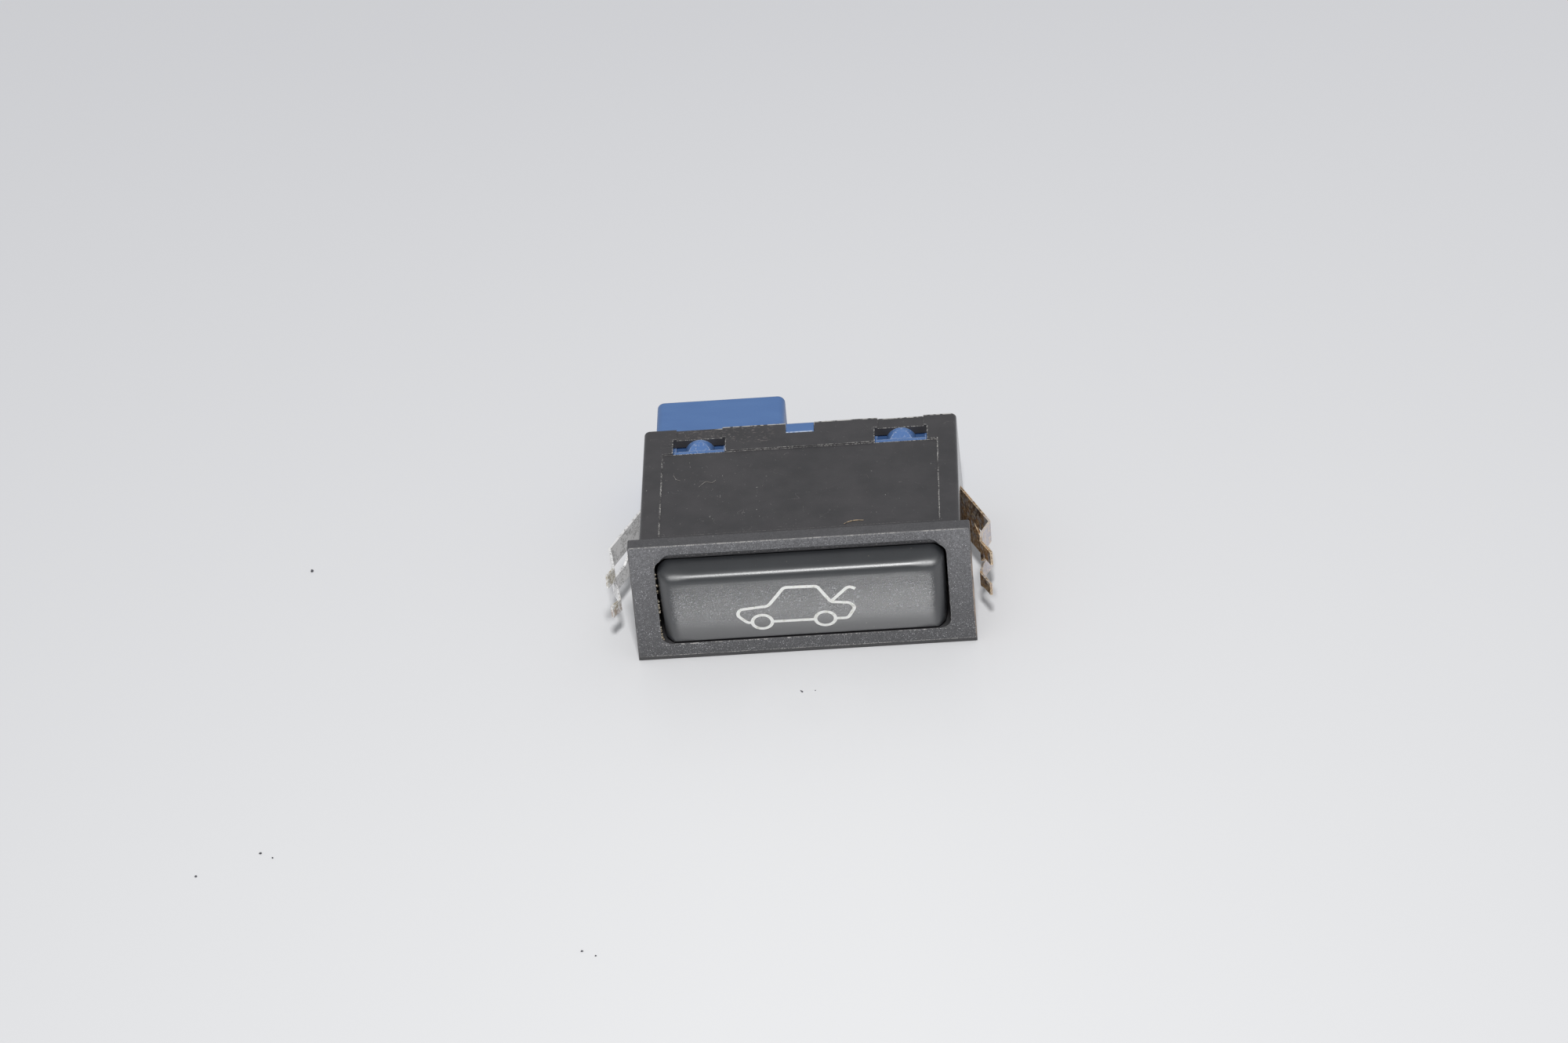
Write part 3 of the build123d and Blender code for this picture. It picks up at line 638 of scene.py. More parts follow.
@dataclass(frozen=True)
class MouldedPbt(Finish):
    """Blue PBT: an even satin moulding with flow marks, and grey dust on its latches."""

    shade: str = "#4a6da6"
    rubbed_and_lit: str = "#c2cde0"
    dust: str = "#c3c8d2"
    latch_rear: float = 25.8
    # The key's front edge, painted with a pale highlight: its middle and half its sides.
    key: tuple[Point, Point] = ((0.0, 25.95), (1.8, 0.13))

    def work(self, brush: Painter) -> None:
        """Lay flow marks, dust, worn edges and a painted highlight on the key's front edge over the
        blue.

        Args:
            brush: the material being made.
        """
        up = brush.add("MapRange", {"Value": brush.nz, "From Min": 0.3, "From Max": 0.9})
        flow = brush.patches(5.0, 0.5, 0.35, 2.0, (0.6, 1.6, 1.0))
        # Only the latches gather dust: the plug's hood is wiped at each fitting.
        latches = brush.add("Math", {0: brush.y, 1: self.latch_rear}, operation="LESS_THAN")
        dusty = brush.both(up, latches)
        film = brush.patches(0.25, 0.62, 0.08, 4.0)
        edges = brush.both(brush.worn_edge(0.25, 0.01, 0.12), brush.patches(0.4, 0.4, 0.1))
        # Painted highlight: the key's front edge is painted pale, where it catches the light.
        (middle_x, middle_y), (half_x, half_y) = self.key
        key = brush.both(
            brush.band(brush.x, middle_x, half_x, 0.2), brush.band(brush.y, middle_y, half_y, 0.05)
        )
        brush.set(
            Base_Color=brush.coats(
                self.colour,
                (self.shade, flow, 0.5),
                (self.rubbed_and_lit, key, up, brush.patches(0.5, 0.4, 0.1)),
                (self.dust, dusty, film, 0.4),
                (self.dust, dusty, brush.specks(0.4, 0.3, 0.2), 0.9),
                (self.rubbed_and_lit, edges, dusty, 0.9),
            ),
            IOR=1.57,
            Normal=brush.relief(brush.patches(0.25, 0.5, 0.3, 2.0), depth=0.008, rounding=0.14),
        )


@dataclass(frozen=True)
class SpringStrip(Finish):
    """Zinc-plated spring strip: dull, veined, stained, and rusted where the zinc wore thin."""

    vein: str = "#85827f"
    stain: str = "#b39a78"
    rust: str = "#3f2a1f"
    rust_light: str = "#a67c52"
    bloom: str = "#f8e2c0"
    blush: str = "#a8875e"
    # Sizes of the patterns in mm.
    vein_size: float = 0.6
    stain_size: float = 0.9
    mottle: float = 2.0
    bloom_size: float = 0.35
    # Where the zinc is still whole: the middle along Y and half its length. Below lower_z the
    # strip has a brown blush.
    clean_y: float = 7.5
    clean_half: float = 2.0
    lower_z: float = -2.5
    # How much of each there is.
    cover: float = 0.45
    plating: float = 0.25
    stained: float = 0.8
    veined: float = 0.3
    bloomed: float = 0.45
    frost: float = 0.0

    def work(self, brush: Painter) -> None:
        """Lay veins, a yellow stain, mottled rust, white bloom and a painted highlight along the
        edges over the plating.

        Args:
            brush: the material being made.
        """
        clean = brush.band(brush.y, self.clean_y, self.clean_half, 1.2)
        kept = brush.add("Math", {0: 1.0, 1: clean}, operation="SUBTRACT")
        fine = brush.patches(self.stain_size, 0.52, 0.1, 4.0)
        rust = brush.both(brush.patches(1.1, self.cover, 0.12, 6.0), kept)
        edge = brush.both(brush.worn_edge(0.12, 0.01, 0.15), fine, kept)
        rust = brush.add("Math", {0: rust, 1: edge}, operation="MAXIMUM")
        mottle = brush.patches(self.mottle, 0.48, 0.1, 4.0)
        # Veins: the plating has crept into cords about a millimetre apart that shade one another.
        cords = brush.add(
            "TexNoise",
            {"Vector": brush.place, "Scale": 1 / self.vein_size, "Detail": 5.0, "Distortion": 1.2},
        )
        vein = brush.both(brush.band(cords, 0.5, 0.012, 0.04), self.veined)
        bloom = brush.both(brush.patches(self.bloom_size, 0.56, 0.05, 3.0), self.bloomed)
        lower = brush.add(
            "MapRange", {"Value": brush.z, "From Min": self.lower_z, "From Max": self.lower_z - 0.5}
        )
        metal = brush.add("MapRange", {"Value": rust, "To Min": self.plating, "To Max": 0.05})
        gloss = brush.add("MapRange", {"Value": rust, "To Min": self.roughness, "To Max": 0.7})
        height = brush.add("Math", {0: rust, 1: cords}, operation="ADD")
        # Painted highlight: a pale line along the strip's edges, in the bloom's colour.
        rim = brush.both(
            brush.worn_edge(0.25, 0.01, 0.12), brush.patches(0.5, 0.42, 0.1, 4.0), 0.85
        )
        brush.set(
            Base_Color=brush.coats(
                self.colour,
                (self.vein, vein),
                (self.stain, fine, self.stained, kept),
                (self.rust, rust),
                (self.rust_light, rust, mottle, 0.9),
                (self.blush, lower, kept, 0.4),
                (self.bloom, bloom),
                (self.bloom, rim),
            ),
            Metallic=metal,
            Roughness=gloss,
            Sheen_Weight=self.frost,
            Sheen_Roughness=0.5,
            Normal=brush.relief(height, depth=0.05, rounding=0.04),
        )


@dataclass(frozen=True)
class Moulding(Finish):
    """A plain technical plastic: cloudy flow marks and a fine tool skin."""

    shade: str = "#d0cdc2"
    flow: float = 3.0
    grain: float = 0.15
    transmission: float = 0.0
    ior: float = 1.5

    def work(self, brush: Painter) -> None:
        """Lay flow marks and skin over the colour.

        Args:
            brush: the material being made.
        """
        flow = brush.patches(self.flow, 0.5, 0.25, 4.0)
        skin = brush.patches(self.grain, 0.5, 0.3, 2.0)
        brush.set(
            Base_Color=brush.coats(self.colour, (self.shade, flow)),
            IOR=self.ior,
            Transmission_Weight=self.transmission,
            Normal=brush.relief(skin, depth=0.008, rounding=0.06),
        )


class Drawing(Enum):
    """The way along which a metal part was drawn or rolled."""

    ACROSS = (0.12, 1.0, 1.0)
    LENGTHWAYS = (1.0, 0.12, 1.0)
    NONE = (1.0, 1.0, 1.0)


@dataclass(frozen=True)
class Metal(Finish):
    """A drawn, rolled or plated metal: fine lines along its working and a patchy tarnish."""

    tarnish: str = "#8f8b84"
    drawing: Drawing = Drawing.NONE
    line: float = 0.08
    metallic: float = 1.0

    def work(self, brush: Painter) -> None:
        """Lay drawing lines and tarnish over the metal.

        Args:
            brush: the material being made.
        """
        lines = brush.patches(self.line, 0.5, 0.3, 2.0, self.drawing.value)
        tone = brush.coats(self.colour, (self.tarnish, brush.patches(1.6, 0.52, 0.18, 5.0)))
        bright, dull = self.roughness * 0.8, self.roughness * 1.3
        gloss = brush.add("MapRange", {"Value": lines, "To Min": bright, "To Max": dull})
        brush.set(Base_Color=tone, Roughness=gloss, Normal=brush.relief(lines, depth=0.004))


@dataclass(frozen=True)
class GlassLaminate(Finish):
    """Glass-cloth epoxy board: a square weave under the resin."""

    thread: float = 0.45
    under: str = "#a88f4e"

    def work(self, brush: Painter) -> None:
        """Show the weave's threads in colour and relief.

        Args:
            brush: the material being made.
        """
        waves = []
        for along in (brush.x, brush.z):
            angle = brush.add("Math", {0: along, 1: math.tau / self.thread}, operation="MULTIPLY")
            waves.append(brush.add("Math", {0: angle}, operation="SINE"))
        weave = brush.both(*waves)
        weave = brush.add("Math", {0: weave, 1: 0.5, 2: 0.5}, operation="MULTIPLY_ADD")
        brush.set(
            Base_Color=brush.coats(self.colour, (self.under, weave)),
            IOR=1.54,
            Normal=brush.relief(weave, depth=0.01),
        )


@dataclass(frozen=True)
class ResistorLacquer(Finish):
    """Fired lacquer on a resistor with its four value bands."""

    bands: tuple[tuple[float, str], ...] = (
        (-11.65, "#c9701f"), (-11.1, "#c9701f"), (-10.55, "#6b3a1c"), (-9.85, "#a98a3a"),
    )
    band_half: float = 0.13
    cloud: str = "#b49e78"

    def work(self, brush: Painter) -> None:
        """Lay the bands over the lacquer.

        Args:
            brush: the material being made.
        """
        rings = [
            (colour, brush.band(brush.x, place, self.band_half, 0.03))
            for place, colour in self.bands
        ]
        tone = brush.coats(self.colour, (self.cloud, brush.patches(0.8, 0.5, 0.25)), *rings)
        brush.set(Base_Color=tone, IOR=1.5, Coat_Weight=0.4, Coat_Roughness=0.15)


@dataclass(frozen=True)
class PadPrint(Finish):
    """Pad-printed white ink, thin enough for the texture below to break its surface."""

    yellowed: str = "#c6c5ba"

    def work(self, brush: Painter) -> None:
        """Lay worn, slightly yellowed patches in the ink.

        Args:
            brush: the material being made.
        """
        tone = brush.coats(self.colour, (self.yellowed, brush.patches(0.6, 0.64, 0.15, 3.0)))
        skin = brush.relief(brush.patches(0.16, 0.5), depth=0.004)
        brush.set(Base_Color=tone, IOR=1.48, Normal=skin)


@dataclass(frozen=True)
class Debris(Finish):
    """Lint and crumbs: rough, dry and uneven in colour."""

    shade: str = "#6d675c"

    def work(self, brush: Painter) -> None:
        """Lay a mottled tone over the fibres.

        Args:
            brush: the material being made.
        """
        brush.set(
            Base_Color=brush.coats(self.colour, (self.shade, brush.patches(0.3, 0.5, 0.1))),
            Sheen_Weight=0.3,
            Normal=brush.relief(brush.patches(0.05, 0.5), depth=0.01),
        )


@dataclass(frozen=True)
class PolishedTable(Finish):
    """White lacquered table top: a clean gloss that mirrors the switch faintly."""

    shaded_side: str = "#e6e6e8"
    behind: str = "#e8e8eb"
    side: Point = (10.0, 160.0)
    rear: Point = (-40.0, 160.0)

    def work(self, brush: Painter) -> None:
        """Lay painted shade over the white: a slow darkening to the sides and the rear.

        Args:
            brush: the material being made.
        """
        # Painted shade: the white is painted a little darker towards the sides and the rear.
        side, rear = (
            brush.add("MapRange", {"Value": value, "From Min": start, "From Max": full})
            for value, (start, full) in ((brush.away(brush.x), self.side), (brush.y, self.rear))
        )
        brush.set(
            Base_Color=brush.coats(self.colour, (self.shaded_side, side), (self.behind, rear)),
            IOR=1.3,
            Normal=brush.relief(brush.patches(30.0, 0.5, 0.3), depth=0.002),
        )


# What each material slot of the record is made of, and what that gives the eye.
FINISHES: dict[str, Finish] = {
    # Satin near-black with grey scuffs; the eroded bezel is greyer and sparkles.
    "housing": MouldedNylon("glass-filled nylon, moulded black", "#474547", 0.46),
    # A dark grey sheen along the ridge and over the bow of the face.
    "button_cap": TexturedCap("ABS, fine-textured dark grey", "#323437", 0.3),
    # Even, slightly milky blue with soft highlights.
    "contact_carrier": MouldedPbt("PBT, moulded blue", "#597eb5", 0.42),
    # Blotches of dark and light brown over dull grey, with a painted pale highlight along the
    # edges.
    "clip_right_steel": SpringStrip(
        "spring strip, zinc-plated and rusted brown", "#cfcacf", 0.42
    ),
    # Frosty white with fine grey veins, and yellowish at the prongs' ends.
    "clip_left_steel": SpringStrip(
        "spring strip, zinc-plated with rusty ends", "#fbfaf9", 0.4,
        vein="#72706d", stain="#b0a684", rust="#86754f", rust_light="#c2b898", bloom="#fbfaf9",
        blush="#a98074", vein_size=1.3, stain_size=0.3, mottle=0.4, bloom_size=0.4,
        clean_y=10.5, clean_half=6.6, cover=0.5, plating=0.04, stained=0.5, veined=0.75,
        bloomed=0.8, frost=0.9,
    ),
    # Milky white with soft highlights.
    "plunger": Moulding("acetal, moulded natural white", "#dcdad2", 0.42),
    # Clear as glass, with bright edges where it pipes the light.
    "light_guide": Moulding(
        "acrylic, moulded clear", "#eef0ee", 0.12, shade="#e4e9e6", transmission=0.9, ior=1.49
    ),
    # A clear green dome with a sharp highlight.
    "lamp_resin": Moulding(
        "lamp resin, cast clear green", "#9fc98f", 0.08, shade="#8abf7c", transmission=0.6,
        ior=1.54,
    ),
    # Grey wire with a thin highlight round each turn.
    "spring_wire": Metal("spring wire, drawn", "#b4b2ae", 0.28),
    # Warm reddish metal, streaked across.
    "contact_copper": Metal(
        "copper strip, rolled", "#c98a66", 0.3, tarnish="#8a5a44", drawing=Drawing.ACROSS
    ),
    # Small bright pads, slightly yellowed.
    "contact_silver": Metal(
        "silver contact rivet, coined", "#d9d7d0", 0.22, tarnish="#a8a294"
    ),
    # Pale yellowish metal, streaked lengthways.
    "terminal_brass": Metal(
        "brass strip, tin-plated and rolled", "#cfc7b0", 0.3, tarnish="#a99a72",
        drawing=Drawing.LENGTHWAYS,
    ),
    # Bright silvery wire.
    "tinned_wire": Metal("copper wire, tinned", "#c6c5c2", 0.25, tarnish="#9c9a95"),
    # Straw yellow with a fine square weave.
    "board_laminate": GlassLaminate("epoxy board, glass-cloth laminate", "#c0aa66", 0.4),
    # Shiny tan with four coloured rings.
    "resistor_enamel": ResistorLacquer("resistor lacquer, fired tan", "#c8b48c", 0.3),
    # Dull off-white, a little uneven.
    "ink": PadPrint("ink, pad-printed white", "#efefec", 0.6),
    # Dry matt threads and crumbs that catch no highlight.
    "lint": Debris("lint, tan fibre", "#b8a183", 0.9),
    "pale_lint": Debris("lint, pale fibre", "#a5a09c", 0.9, shade="#77726e"),
    "dust": Debris("dust, pale crumbs", "#d8cfbe", 0.95, shade="#9a8c73"),
    "grit": Debris("grit, dark crumbs", "#6a6a70", 0.95, shade="#48484e"),
    # Clean white with a faint mirror image of what stands on it.
    "table": PolishedTable("table top, white lacquer polished", "#f2f2f3", 0.2),
}
PAINTED: dict[str, bpy.types.Material] = {}


def finish(name: str) -> bpy.types.Material:
    """Paint a finish the first time it is asked for.

    Args:
        name: the finish's key.

    Returns:
        Its material.
    """
    if name not in PAINTED:
        PAINTED[name] = FINISHES[name].paint()
    return PAINTED[name]


def piece(
    name: str, points: list, faces: list, coat: str, body: str | None = None, smooth: bool = True
) -> bpy.types.Object:
    """Make a mesh object.

    Args:
        name: the piece's name.
        points: its points in mm in the row frame.
        faces: its faces, as lists of point numbers.
        coat: its finish.
        body: the body that it rides on, or None for what isn't part of the switch.
        smooth: whether its faces are shaded smooth.

    Returns:
        The object.
    """
    mesh = bpy.data.meshes.new(name)
    mesh.from_pydata([Vector(point) * MM for point in points], [], faces)
    mesh.validate()
    mesh.update()
    mesh.polygons.foreach_set("use_smooth", [smooth] * len(mesh.polygons))
    mesh.materials.append(finish(coat))
    made = bpy.data.objects.new(name, mesh)
    bpy.context.scene.collection.objects.link(made)
    if body:
        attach(made, body)
    return made


def ring(low: int, high: int, sides: int) -> list[list[int]]:
    """Join two rings of points by four-sided faces.

    Args:
        low: the number of the first ring's first point.
        high: the number of the second ring's first point.
        sides: how many points each ring has.

    Returns:
        The faces.
    """
    following = [(k + 1) % sides for k in range(sides)]
    return [[low + k, low + following[k], high + following[k], high + k] for k in range(sides)]


def tube(path: list[Vector], radii: list[float], sides: int = 8) -> tuple[list, list]:
    """Sweep a circle along a path and close both ends.

    Args:
        path: the path's points in mm.
        radii: the tube's radius at each of them.
        sides: the number of sides.

    Returns:
        Points and faces.
    """
    points: list = []
    across = (path[1] - path[0]).orthogonal().normalized()
    for i, centre in enumerate(path):
        along = (path[min(i + 1, len(path) - 1)] - path[max(i - 1, 0)]).normalized()
        across = (across - along * across.dot(along)).normalized()
        up = along.cross(across)
        for k in range(sides):
            turn = math.tau * k / sides
            points.append(centre + (across * math.cos(turn) + up * math.sin(turn)) * radii[i])
    faces = []
    for low in range(0, len(points) - sides, sides):
        faces += ring(low, low + sides, sides)
    faces.append(list(reversed(range(sides))))
    faces.append([len(points) - sides + k for k in range(sides)])
    return points, faces


def turned(profile: list[Point], start: Point3, axis: Vector, sides: int = 32) -> tuple[list, list]:
    """Turn a closed profile about an axis.

    Args:
        profile: (distance along the axis, radius) from pole to pole, which have no radius.
        start: the axis' start in mm.
        axis: its unit direction.
        sides: the number of sides.

    Returns:
        Points and faces.
    """
    across = axis.orthogonal().normalized()
    up = axis.cross(across)
    origin = Vector(start)
    points = [origin + axis * profile[0][0]]
    for along, radius in profile[1:-1]:
        for k in range(sides):
            turn = math.tau * k / sides
            spoke = across * math.cos(turn) + up * math.sin(turn)
            points.append(origin + axis * along + spoke * radius)
    points.append(origin + axis * profile[-1][0])
    faces = [[0, 1 + (k + 1) % sides, 1 + k] for k in range(sides)]
    last = 1 + (len(profile) - 3) * sides
    for low in range(1, last, sides):
        faces += ring(low, low + sides, sides)
    faces += [[last + k, last + (k + 1) % sides, len(points) - 1] for k in range(sides)]
    return points, faces


def crumb(
    name: str, coat: str, place: Point3, size: float, draw: random.Random
) -> bpy.types.Object:
    """Make one uneven crumb.

    Args:
        name: the piece's name.
        coat: its finish.
        place: its middle in mm.
        size: its longest reach in mm.
        draw: the source of its uneven shape.

    Returns:
        The crumb.
    """
    profile = [(-0.5, 0.0), (-0.25, 0.45), (0.0, 0.52), (0.25, 0.45), (0.5, 0.0)]
    axis = Vector((draw.uniform(-1, 1), draw.uniform(-1, 1), draw.uniform(-1, 1))).normalized()
    points, faces = turned(profile, (0, 0, 0), axis, 7)
    shaped = [Vector(place) + point * size * draw.uniform(0.7, 1.1) for point in points]
    return piece(name, shaped, faces, coat, smooth=False)


def dress(*nodes: str) -> None:
    """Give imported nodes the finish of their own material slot.

    Args:
        nodes: the nodes' names.
    """
    for name in nodes:
        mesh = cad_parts[name].data
        for index, slot in enumerate(mesh.materials):
            mesh.materials[index] = finish(slot.name.split(".")[0])
        LOG.info("%s: dressed", name)


@dataclass
class HousingShell:
    """The black moulding with its bezel and box."""

    node: str = "housing"

    def build(self) -> None:
        """Dress the housing."""
        dress(self.node)


@dataclass
class PushButton:
    """The leaning cap with its printed open-boot pictogram."""

    node: str = "button_cap"
    body: str = "button"
    line: float = 0.45
    ink: float = 0.02
    wheel: float = 1.29
    rear_wheel: Point = (2.68, -2.97)
    front_wheel: Point = (-5.48, -2.91)
    shell: tuple[Point, ...] = (
        (-6.95, -2.95), (-7.4, -2.9), (-8.5, -1.6), (-8.5, -1.0), (-8.15, -0.4), (-4.55, -0.05),
        (-2.3, 3.05), (2.0, 2.95), (3.6, 0.05), (6.0, -0.25), (6.62, -1.15), (5.6, -3.1),
        (4.15, -3.05),
    )
    sill: tuple[Point, ...] = ((-4.05, -2.95), (1.2, -3.0))
    lid: tuple[Point, ...] = ((3.6, 0.15), (5.8, 2.45), (6.3, 2.5), (6.85, 2.15))
    corner: float = 0.45
    corner_share: float = 0.45
    corner_steps: int = 6
    wheel_steps: int = 48
    step: float = 0.15
    before: float = -10.0

    def eased(self, corners: tuple[Point, ...]) -> list[Vector]:
        """Round a stroke's corners and divide it into short steps.

        Args:
            corners: the stroke's corners on the face, as (x, z) in mm.

        Returns:
            The stroke's points.
        """
        knots = [Vector(point) for point in corners]
        path = [knots[0]]
        for before, corner, after in zip(knots, knots[1:], knots[2:]):
            enter = min(self.corner, (corner - before).length * self.corner_share)
            leave = min(self.corner, (after - corner).length * self.corner_share)
            start = corner + (before - corner).normalized() * enter
            end = corner + (after - corner).normalized() * leave
            for i in range(self.corner_steps + 1):
                t = i / self.corner_steps
                path.append(start * (1 - t) ** 2 + corner * 2 * t * (1 - t) + end * t ** 2)
        path.append(knots[-1])
        fine = [path[0]]
        for a, b in zip(path, path[1:]):
            count = max(1, math.ceil((b - a).length / self.step))
            fine += [a.lerp(b, (i + 1) / count) for i in range(count)]
        return fine

    def stroke(
        self, name: str, path: list[Vector], closed: bool, surface: BVHTree, lift: float
    ) -> None:
        """Lay one printed line on the cap's face as a thin closed solid.

        Args:
            name: the piece's name.
            path: the line's points, as (x, z) in mm.
            closed: whether the line ends where it starts.
            surface: the cap's surface.
            lift: how far the ink stands off it, in mm.
        """
        points, count = [], len(path)
        for i, point in enumerate(path):
            ahead = path[(i + 1) % count] if closed else path[min(i + 1, count - 1)]
            behind = path[i - 1] if closed else path[max(i - 1, 0)]
            way = (ahead - behind).normalized()
            side = Vector((-way.y, way.x)) * self.line / 2
            for offset in (side, side * 0, -side):
                x, z = point + offset
                start = Vector((x, self.before, z)) * MM
                hit, normal, _, _ = surface.ray_cast(start, Vector((0, 1, 0)))
                place = hit / MM
                points += [place + normal * lift, place - normal * self.ink]
        # Each step has a top and a bottom point three times across the line, taken round here.
        around = [0, 2, 4, 5, 3, 1]
        faces = []
        for i in range(count if closed else count - 1):
            low, high = 6 * i, 6 * ((i + 1) % count)
            for a, b in zip(around, around[1:] + around[:1]):
                faces.append([low + a, low + b, high + b, high + a])
        if not closed:
            faces += [list(reversed(around)), [6 * (count - 1) + k for k in around]]
        piece(name, points, faces, "ink", self.body, smooth=False)

    def build(self) -> None:
        """Dress the cap and print the pictogram on it."""
        dress(self.node)
        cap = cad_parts[self.node].data
        surface = BVHTree.FromPolygons(
            [vertex.co for vertex in cap.vertices], [polygon.vertices for polygon in cap.polygons]
        )
        turns = [math.tau * i / self.wheel_steps for i in range(self.wheel_steps)]
        circle = [Vector((math.cos(turn), math.sin(turn))) * self.wheel for turn in turns]
        lines = {
            "print_shell": (self.eased(self.shell), False),
            "print_sill": (self.eased(self.sill), False),
            "print_lid": (self.eased(self.lid), False),
            "print_rear_wheel": ([Vector(self.rear_wheel) + spoke for spoke in circle], True),
            "print_front_wheel": ([Vector(self.front_wheel) + spoke for spoke in circle], True),
        }
        # Each line stands a little higher than the one before, so that crossings don't coincide.
        for index, (name, (path, closed)) in enumerate(lines.items()):
            self.stroke(name, path, closed, surface, self.ink * (0.6 + 0.1 * index))
        LOG.info("pictogram: %d printed lines", len(lines))


@dataclass
class ConnectorCarrier:
    """The blue moulding with the four blades in its socket."""

    nodes: tuple[str, ...] = (
        "contact_carrier", "terminal_common", "terminal_switched", "terminal_lamp_feed",
        "terminal_lamp_ground", "fixed_tips",
    )

    def build(self) -> None:
        """Dress the carrier and its terminals."""
        dress(*self.nodes)


@dataclass
class CoilSpring:
    """A compression spring of round wire with closed ends, wound about an axis along Y."""

    name: str
    centre: Point
    front: float
    length: float
    radius: float
    wire: float
    turns: float
    body: str
    stands_for: str
    steps_per_turn: int = 24
    sides: int = 10

    def build(self) -> bpy.types.Object:
        """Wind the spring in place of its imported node.

        Returns:
            The spring.
        """
        # One closed turn at each end, a wire's thickness high, besides the open ones.
        all_turns = self.turns + 2
        steps = int(self.steps_per_turn * all_turns)
        free = self.length - 6 * self.wire
        path = []
        for i in range(steps + 1):
            turn = all_turns * i / steps
            rise = min(max(turn - 1, 0), self.turns) / self.turns
            closed = min(turn, 1) + max(turn - 1 - self.turns, 0)
            along = self.wire + closed * 2 * self.wire + rise * free
            angle = math.tau * turn
            path.append(Vector((
                self.centre[0] + self.radius * math.cos(angle),
                self.front + along,
                self.centre[1] + self.radius * math.sin(angle),
            )))
        points, faces = tube(path, [self.wire] * len(path), self.sides)
        wound = piece(self.name, points, faces, "spring_wire", self.body)
        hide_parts(self.stands_for)
        LOG.info("%s: %d faces", self.name, len(faces))
        return wound


@dataclass
class SwitchWorks:
    """What moves and glows inside: plunger, springs, bridge contact, lamp board."""

    nodes: tuple[str, ...] = (
        "plunger", "light_guide", "contact_bridge", "bridge_tips", "lamp_board", "lamp_leads",
        "resistor_leads",
    )
    travel: float = 2.4
    float_travel: float = 0.5
    # A spring's mean radius, its wire's radius and its open turns.
    return_coil: Point3 = (1.57, 0.2, 5.0)
    contact_coil: Point3 = (1.33, 0.14, 4.0)
    # The lamp's flange has a radius and a thickness.
    lamp_flange: Point = (1.8, 0.6)
    lamp_radius: float = 1.5
    dome_steps: int = 8
    resistor_ends: float = 0.85
    resistor_waist: float = 0.72

    def springs(self) -> None:
        """Wind the three springs: the button's two return springs and the bridge's contact spring.
        """
        for side in ("right", "left"):
            low, high = (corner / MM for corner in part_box(f"return_spring_{side}"))
            centre, length = ((low.x + high.x) / 2, (low.z + high.z) / 2), high.y - low.y
            coil = CoilSpring(
                f"button_spring_{side}", centre, low.y, length, *self.return_coil, "housing",
                f"return_spring_{side}",
            )
            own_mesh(coil.build())
        low, high = (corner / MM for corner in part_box("contact_spring"))
        centre, length = ((low.x + high.x) / 2, (low.z + high.z) / 2), high.y - low.y
        coil = CoilSpring(
            "bridge_spring", centre, low.y, length, *self.contact_coil, "button", "contact_spring"
        )
        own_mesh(coil.build())

    def lamp(self) -> None:
        """Cast the domed lamp that stands in front of the board."""
        low, high = (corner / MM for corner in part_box("lamp_body"))
        flange, thick = self.lamp_flange
        length, dome = high.y - low.y, self.lamp_radius
        straight = length - dome
        profile = [
            (0.0, 0.0), (0.0, flange - 0.1), (0.08, flange), (thick, flange), (thick + 0.05, dome),
            (straight, dome),
        ]
        for i in range(1, self.dome_steps):
            turn = math.pi / 2 * i / self.dome_steps
            profile.append((straight + dome * math.sin(turn), dome * math.cos(turn)))
        profile.append((length, 0.0))
        centre = ((low.x + high.x) / 2, high.y, (low.z + high.z) / 2)
        points, faces = turned(profile, centre, Vector((0, -1, 0)), 40)
        cast = piece("lamp_lens", points, faces, "lamp_resin", "housing")
        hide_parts("lamp_body")
        LOG.info("lamp: %d faces", len(faces))

    def resistor(self) -> None:
        """Coat the resistor: a waisted body with rounded end caps."""
        low, high = (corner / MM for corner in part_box("resistor_body"))
        length, cap, waist = high.x - low.x, self.resistor_ends, self.resistor_waist
        half = [
            (0.0, 0.0), (0.0, cap * 0.55), (0.12, cap * 0.85), (0.35, cap), (0.7, cap),
            (0.95, waist),
        ]
        profile = half + [(length - along, radius) for along, radius in reversed(half)]
        start = (low.x, (low.y + high.y) / 2, (low.z + high.z) / 2)
        points, faces = turned(profile, start, Vector((1, 0, 0)), 32)
        coated = piece("resistor", points, faces, "resistor_enamel", "housing")
        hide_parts("resistor_body")
        LOG.info("resistor: %d faces", len(faces))

    def build(self) -> None:
        """Dress the works and build the springs, the lamp and the resistor."""
        dress(*self.nodes)
        self.springs()
        self.lamp()
        self.resistor()


@dataclass
class SideClips:
    """The forked spring clips on both sides."""

    nodes: tuple[str, ...] = ("clip_right", "clip_left")

    def build(self) -> None:
        """Dress the clips."""
        dress(*self.nodes)


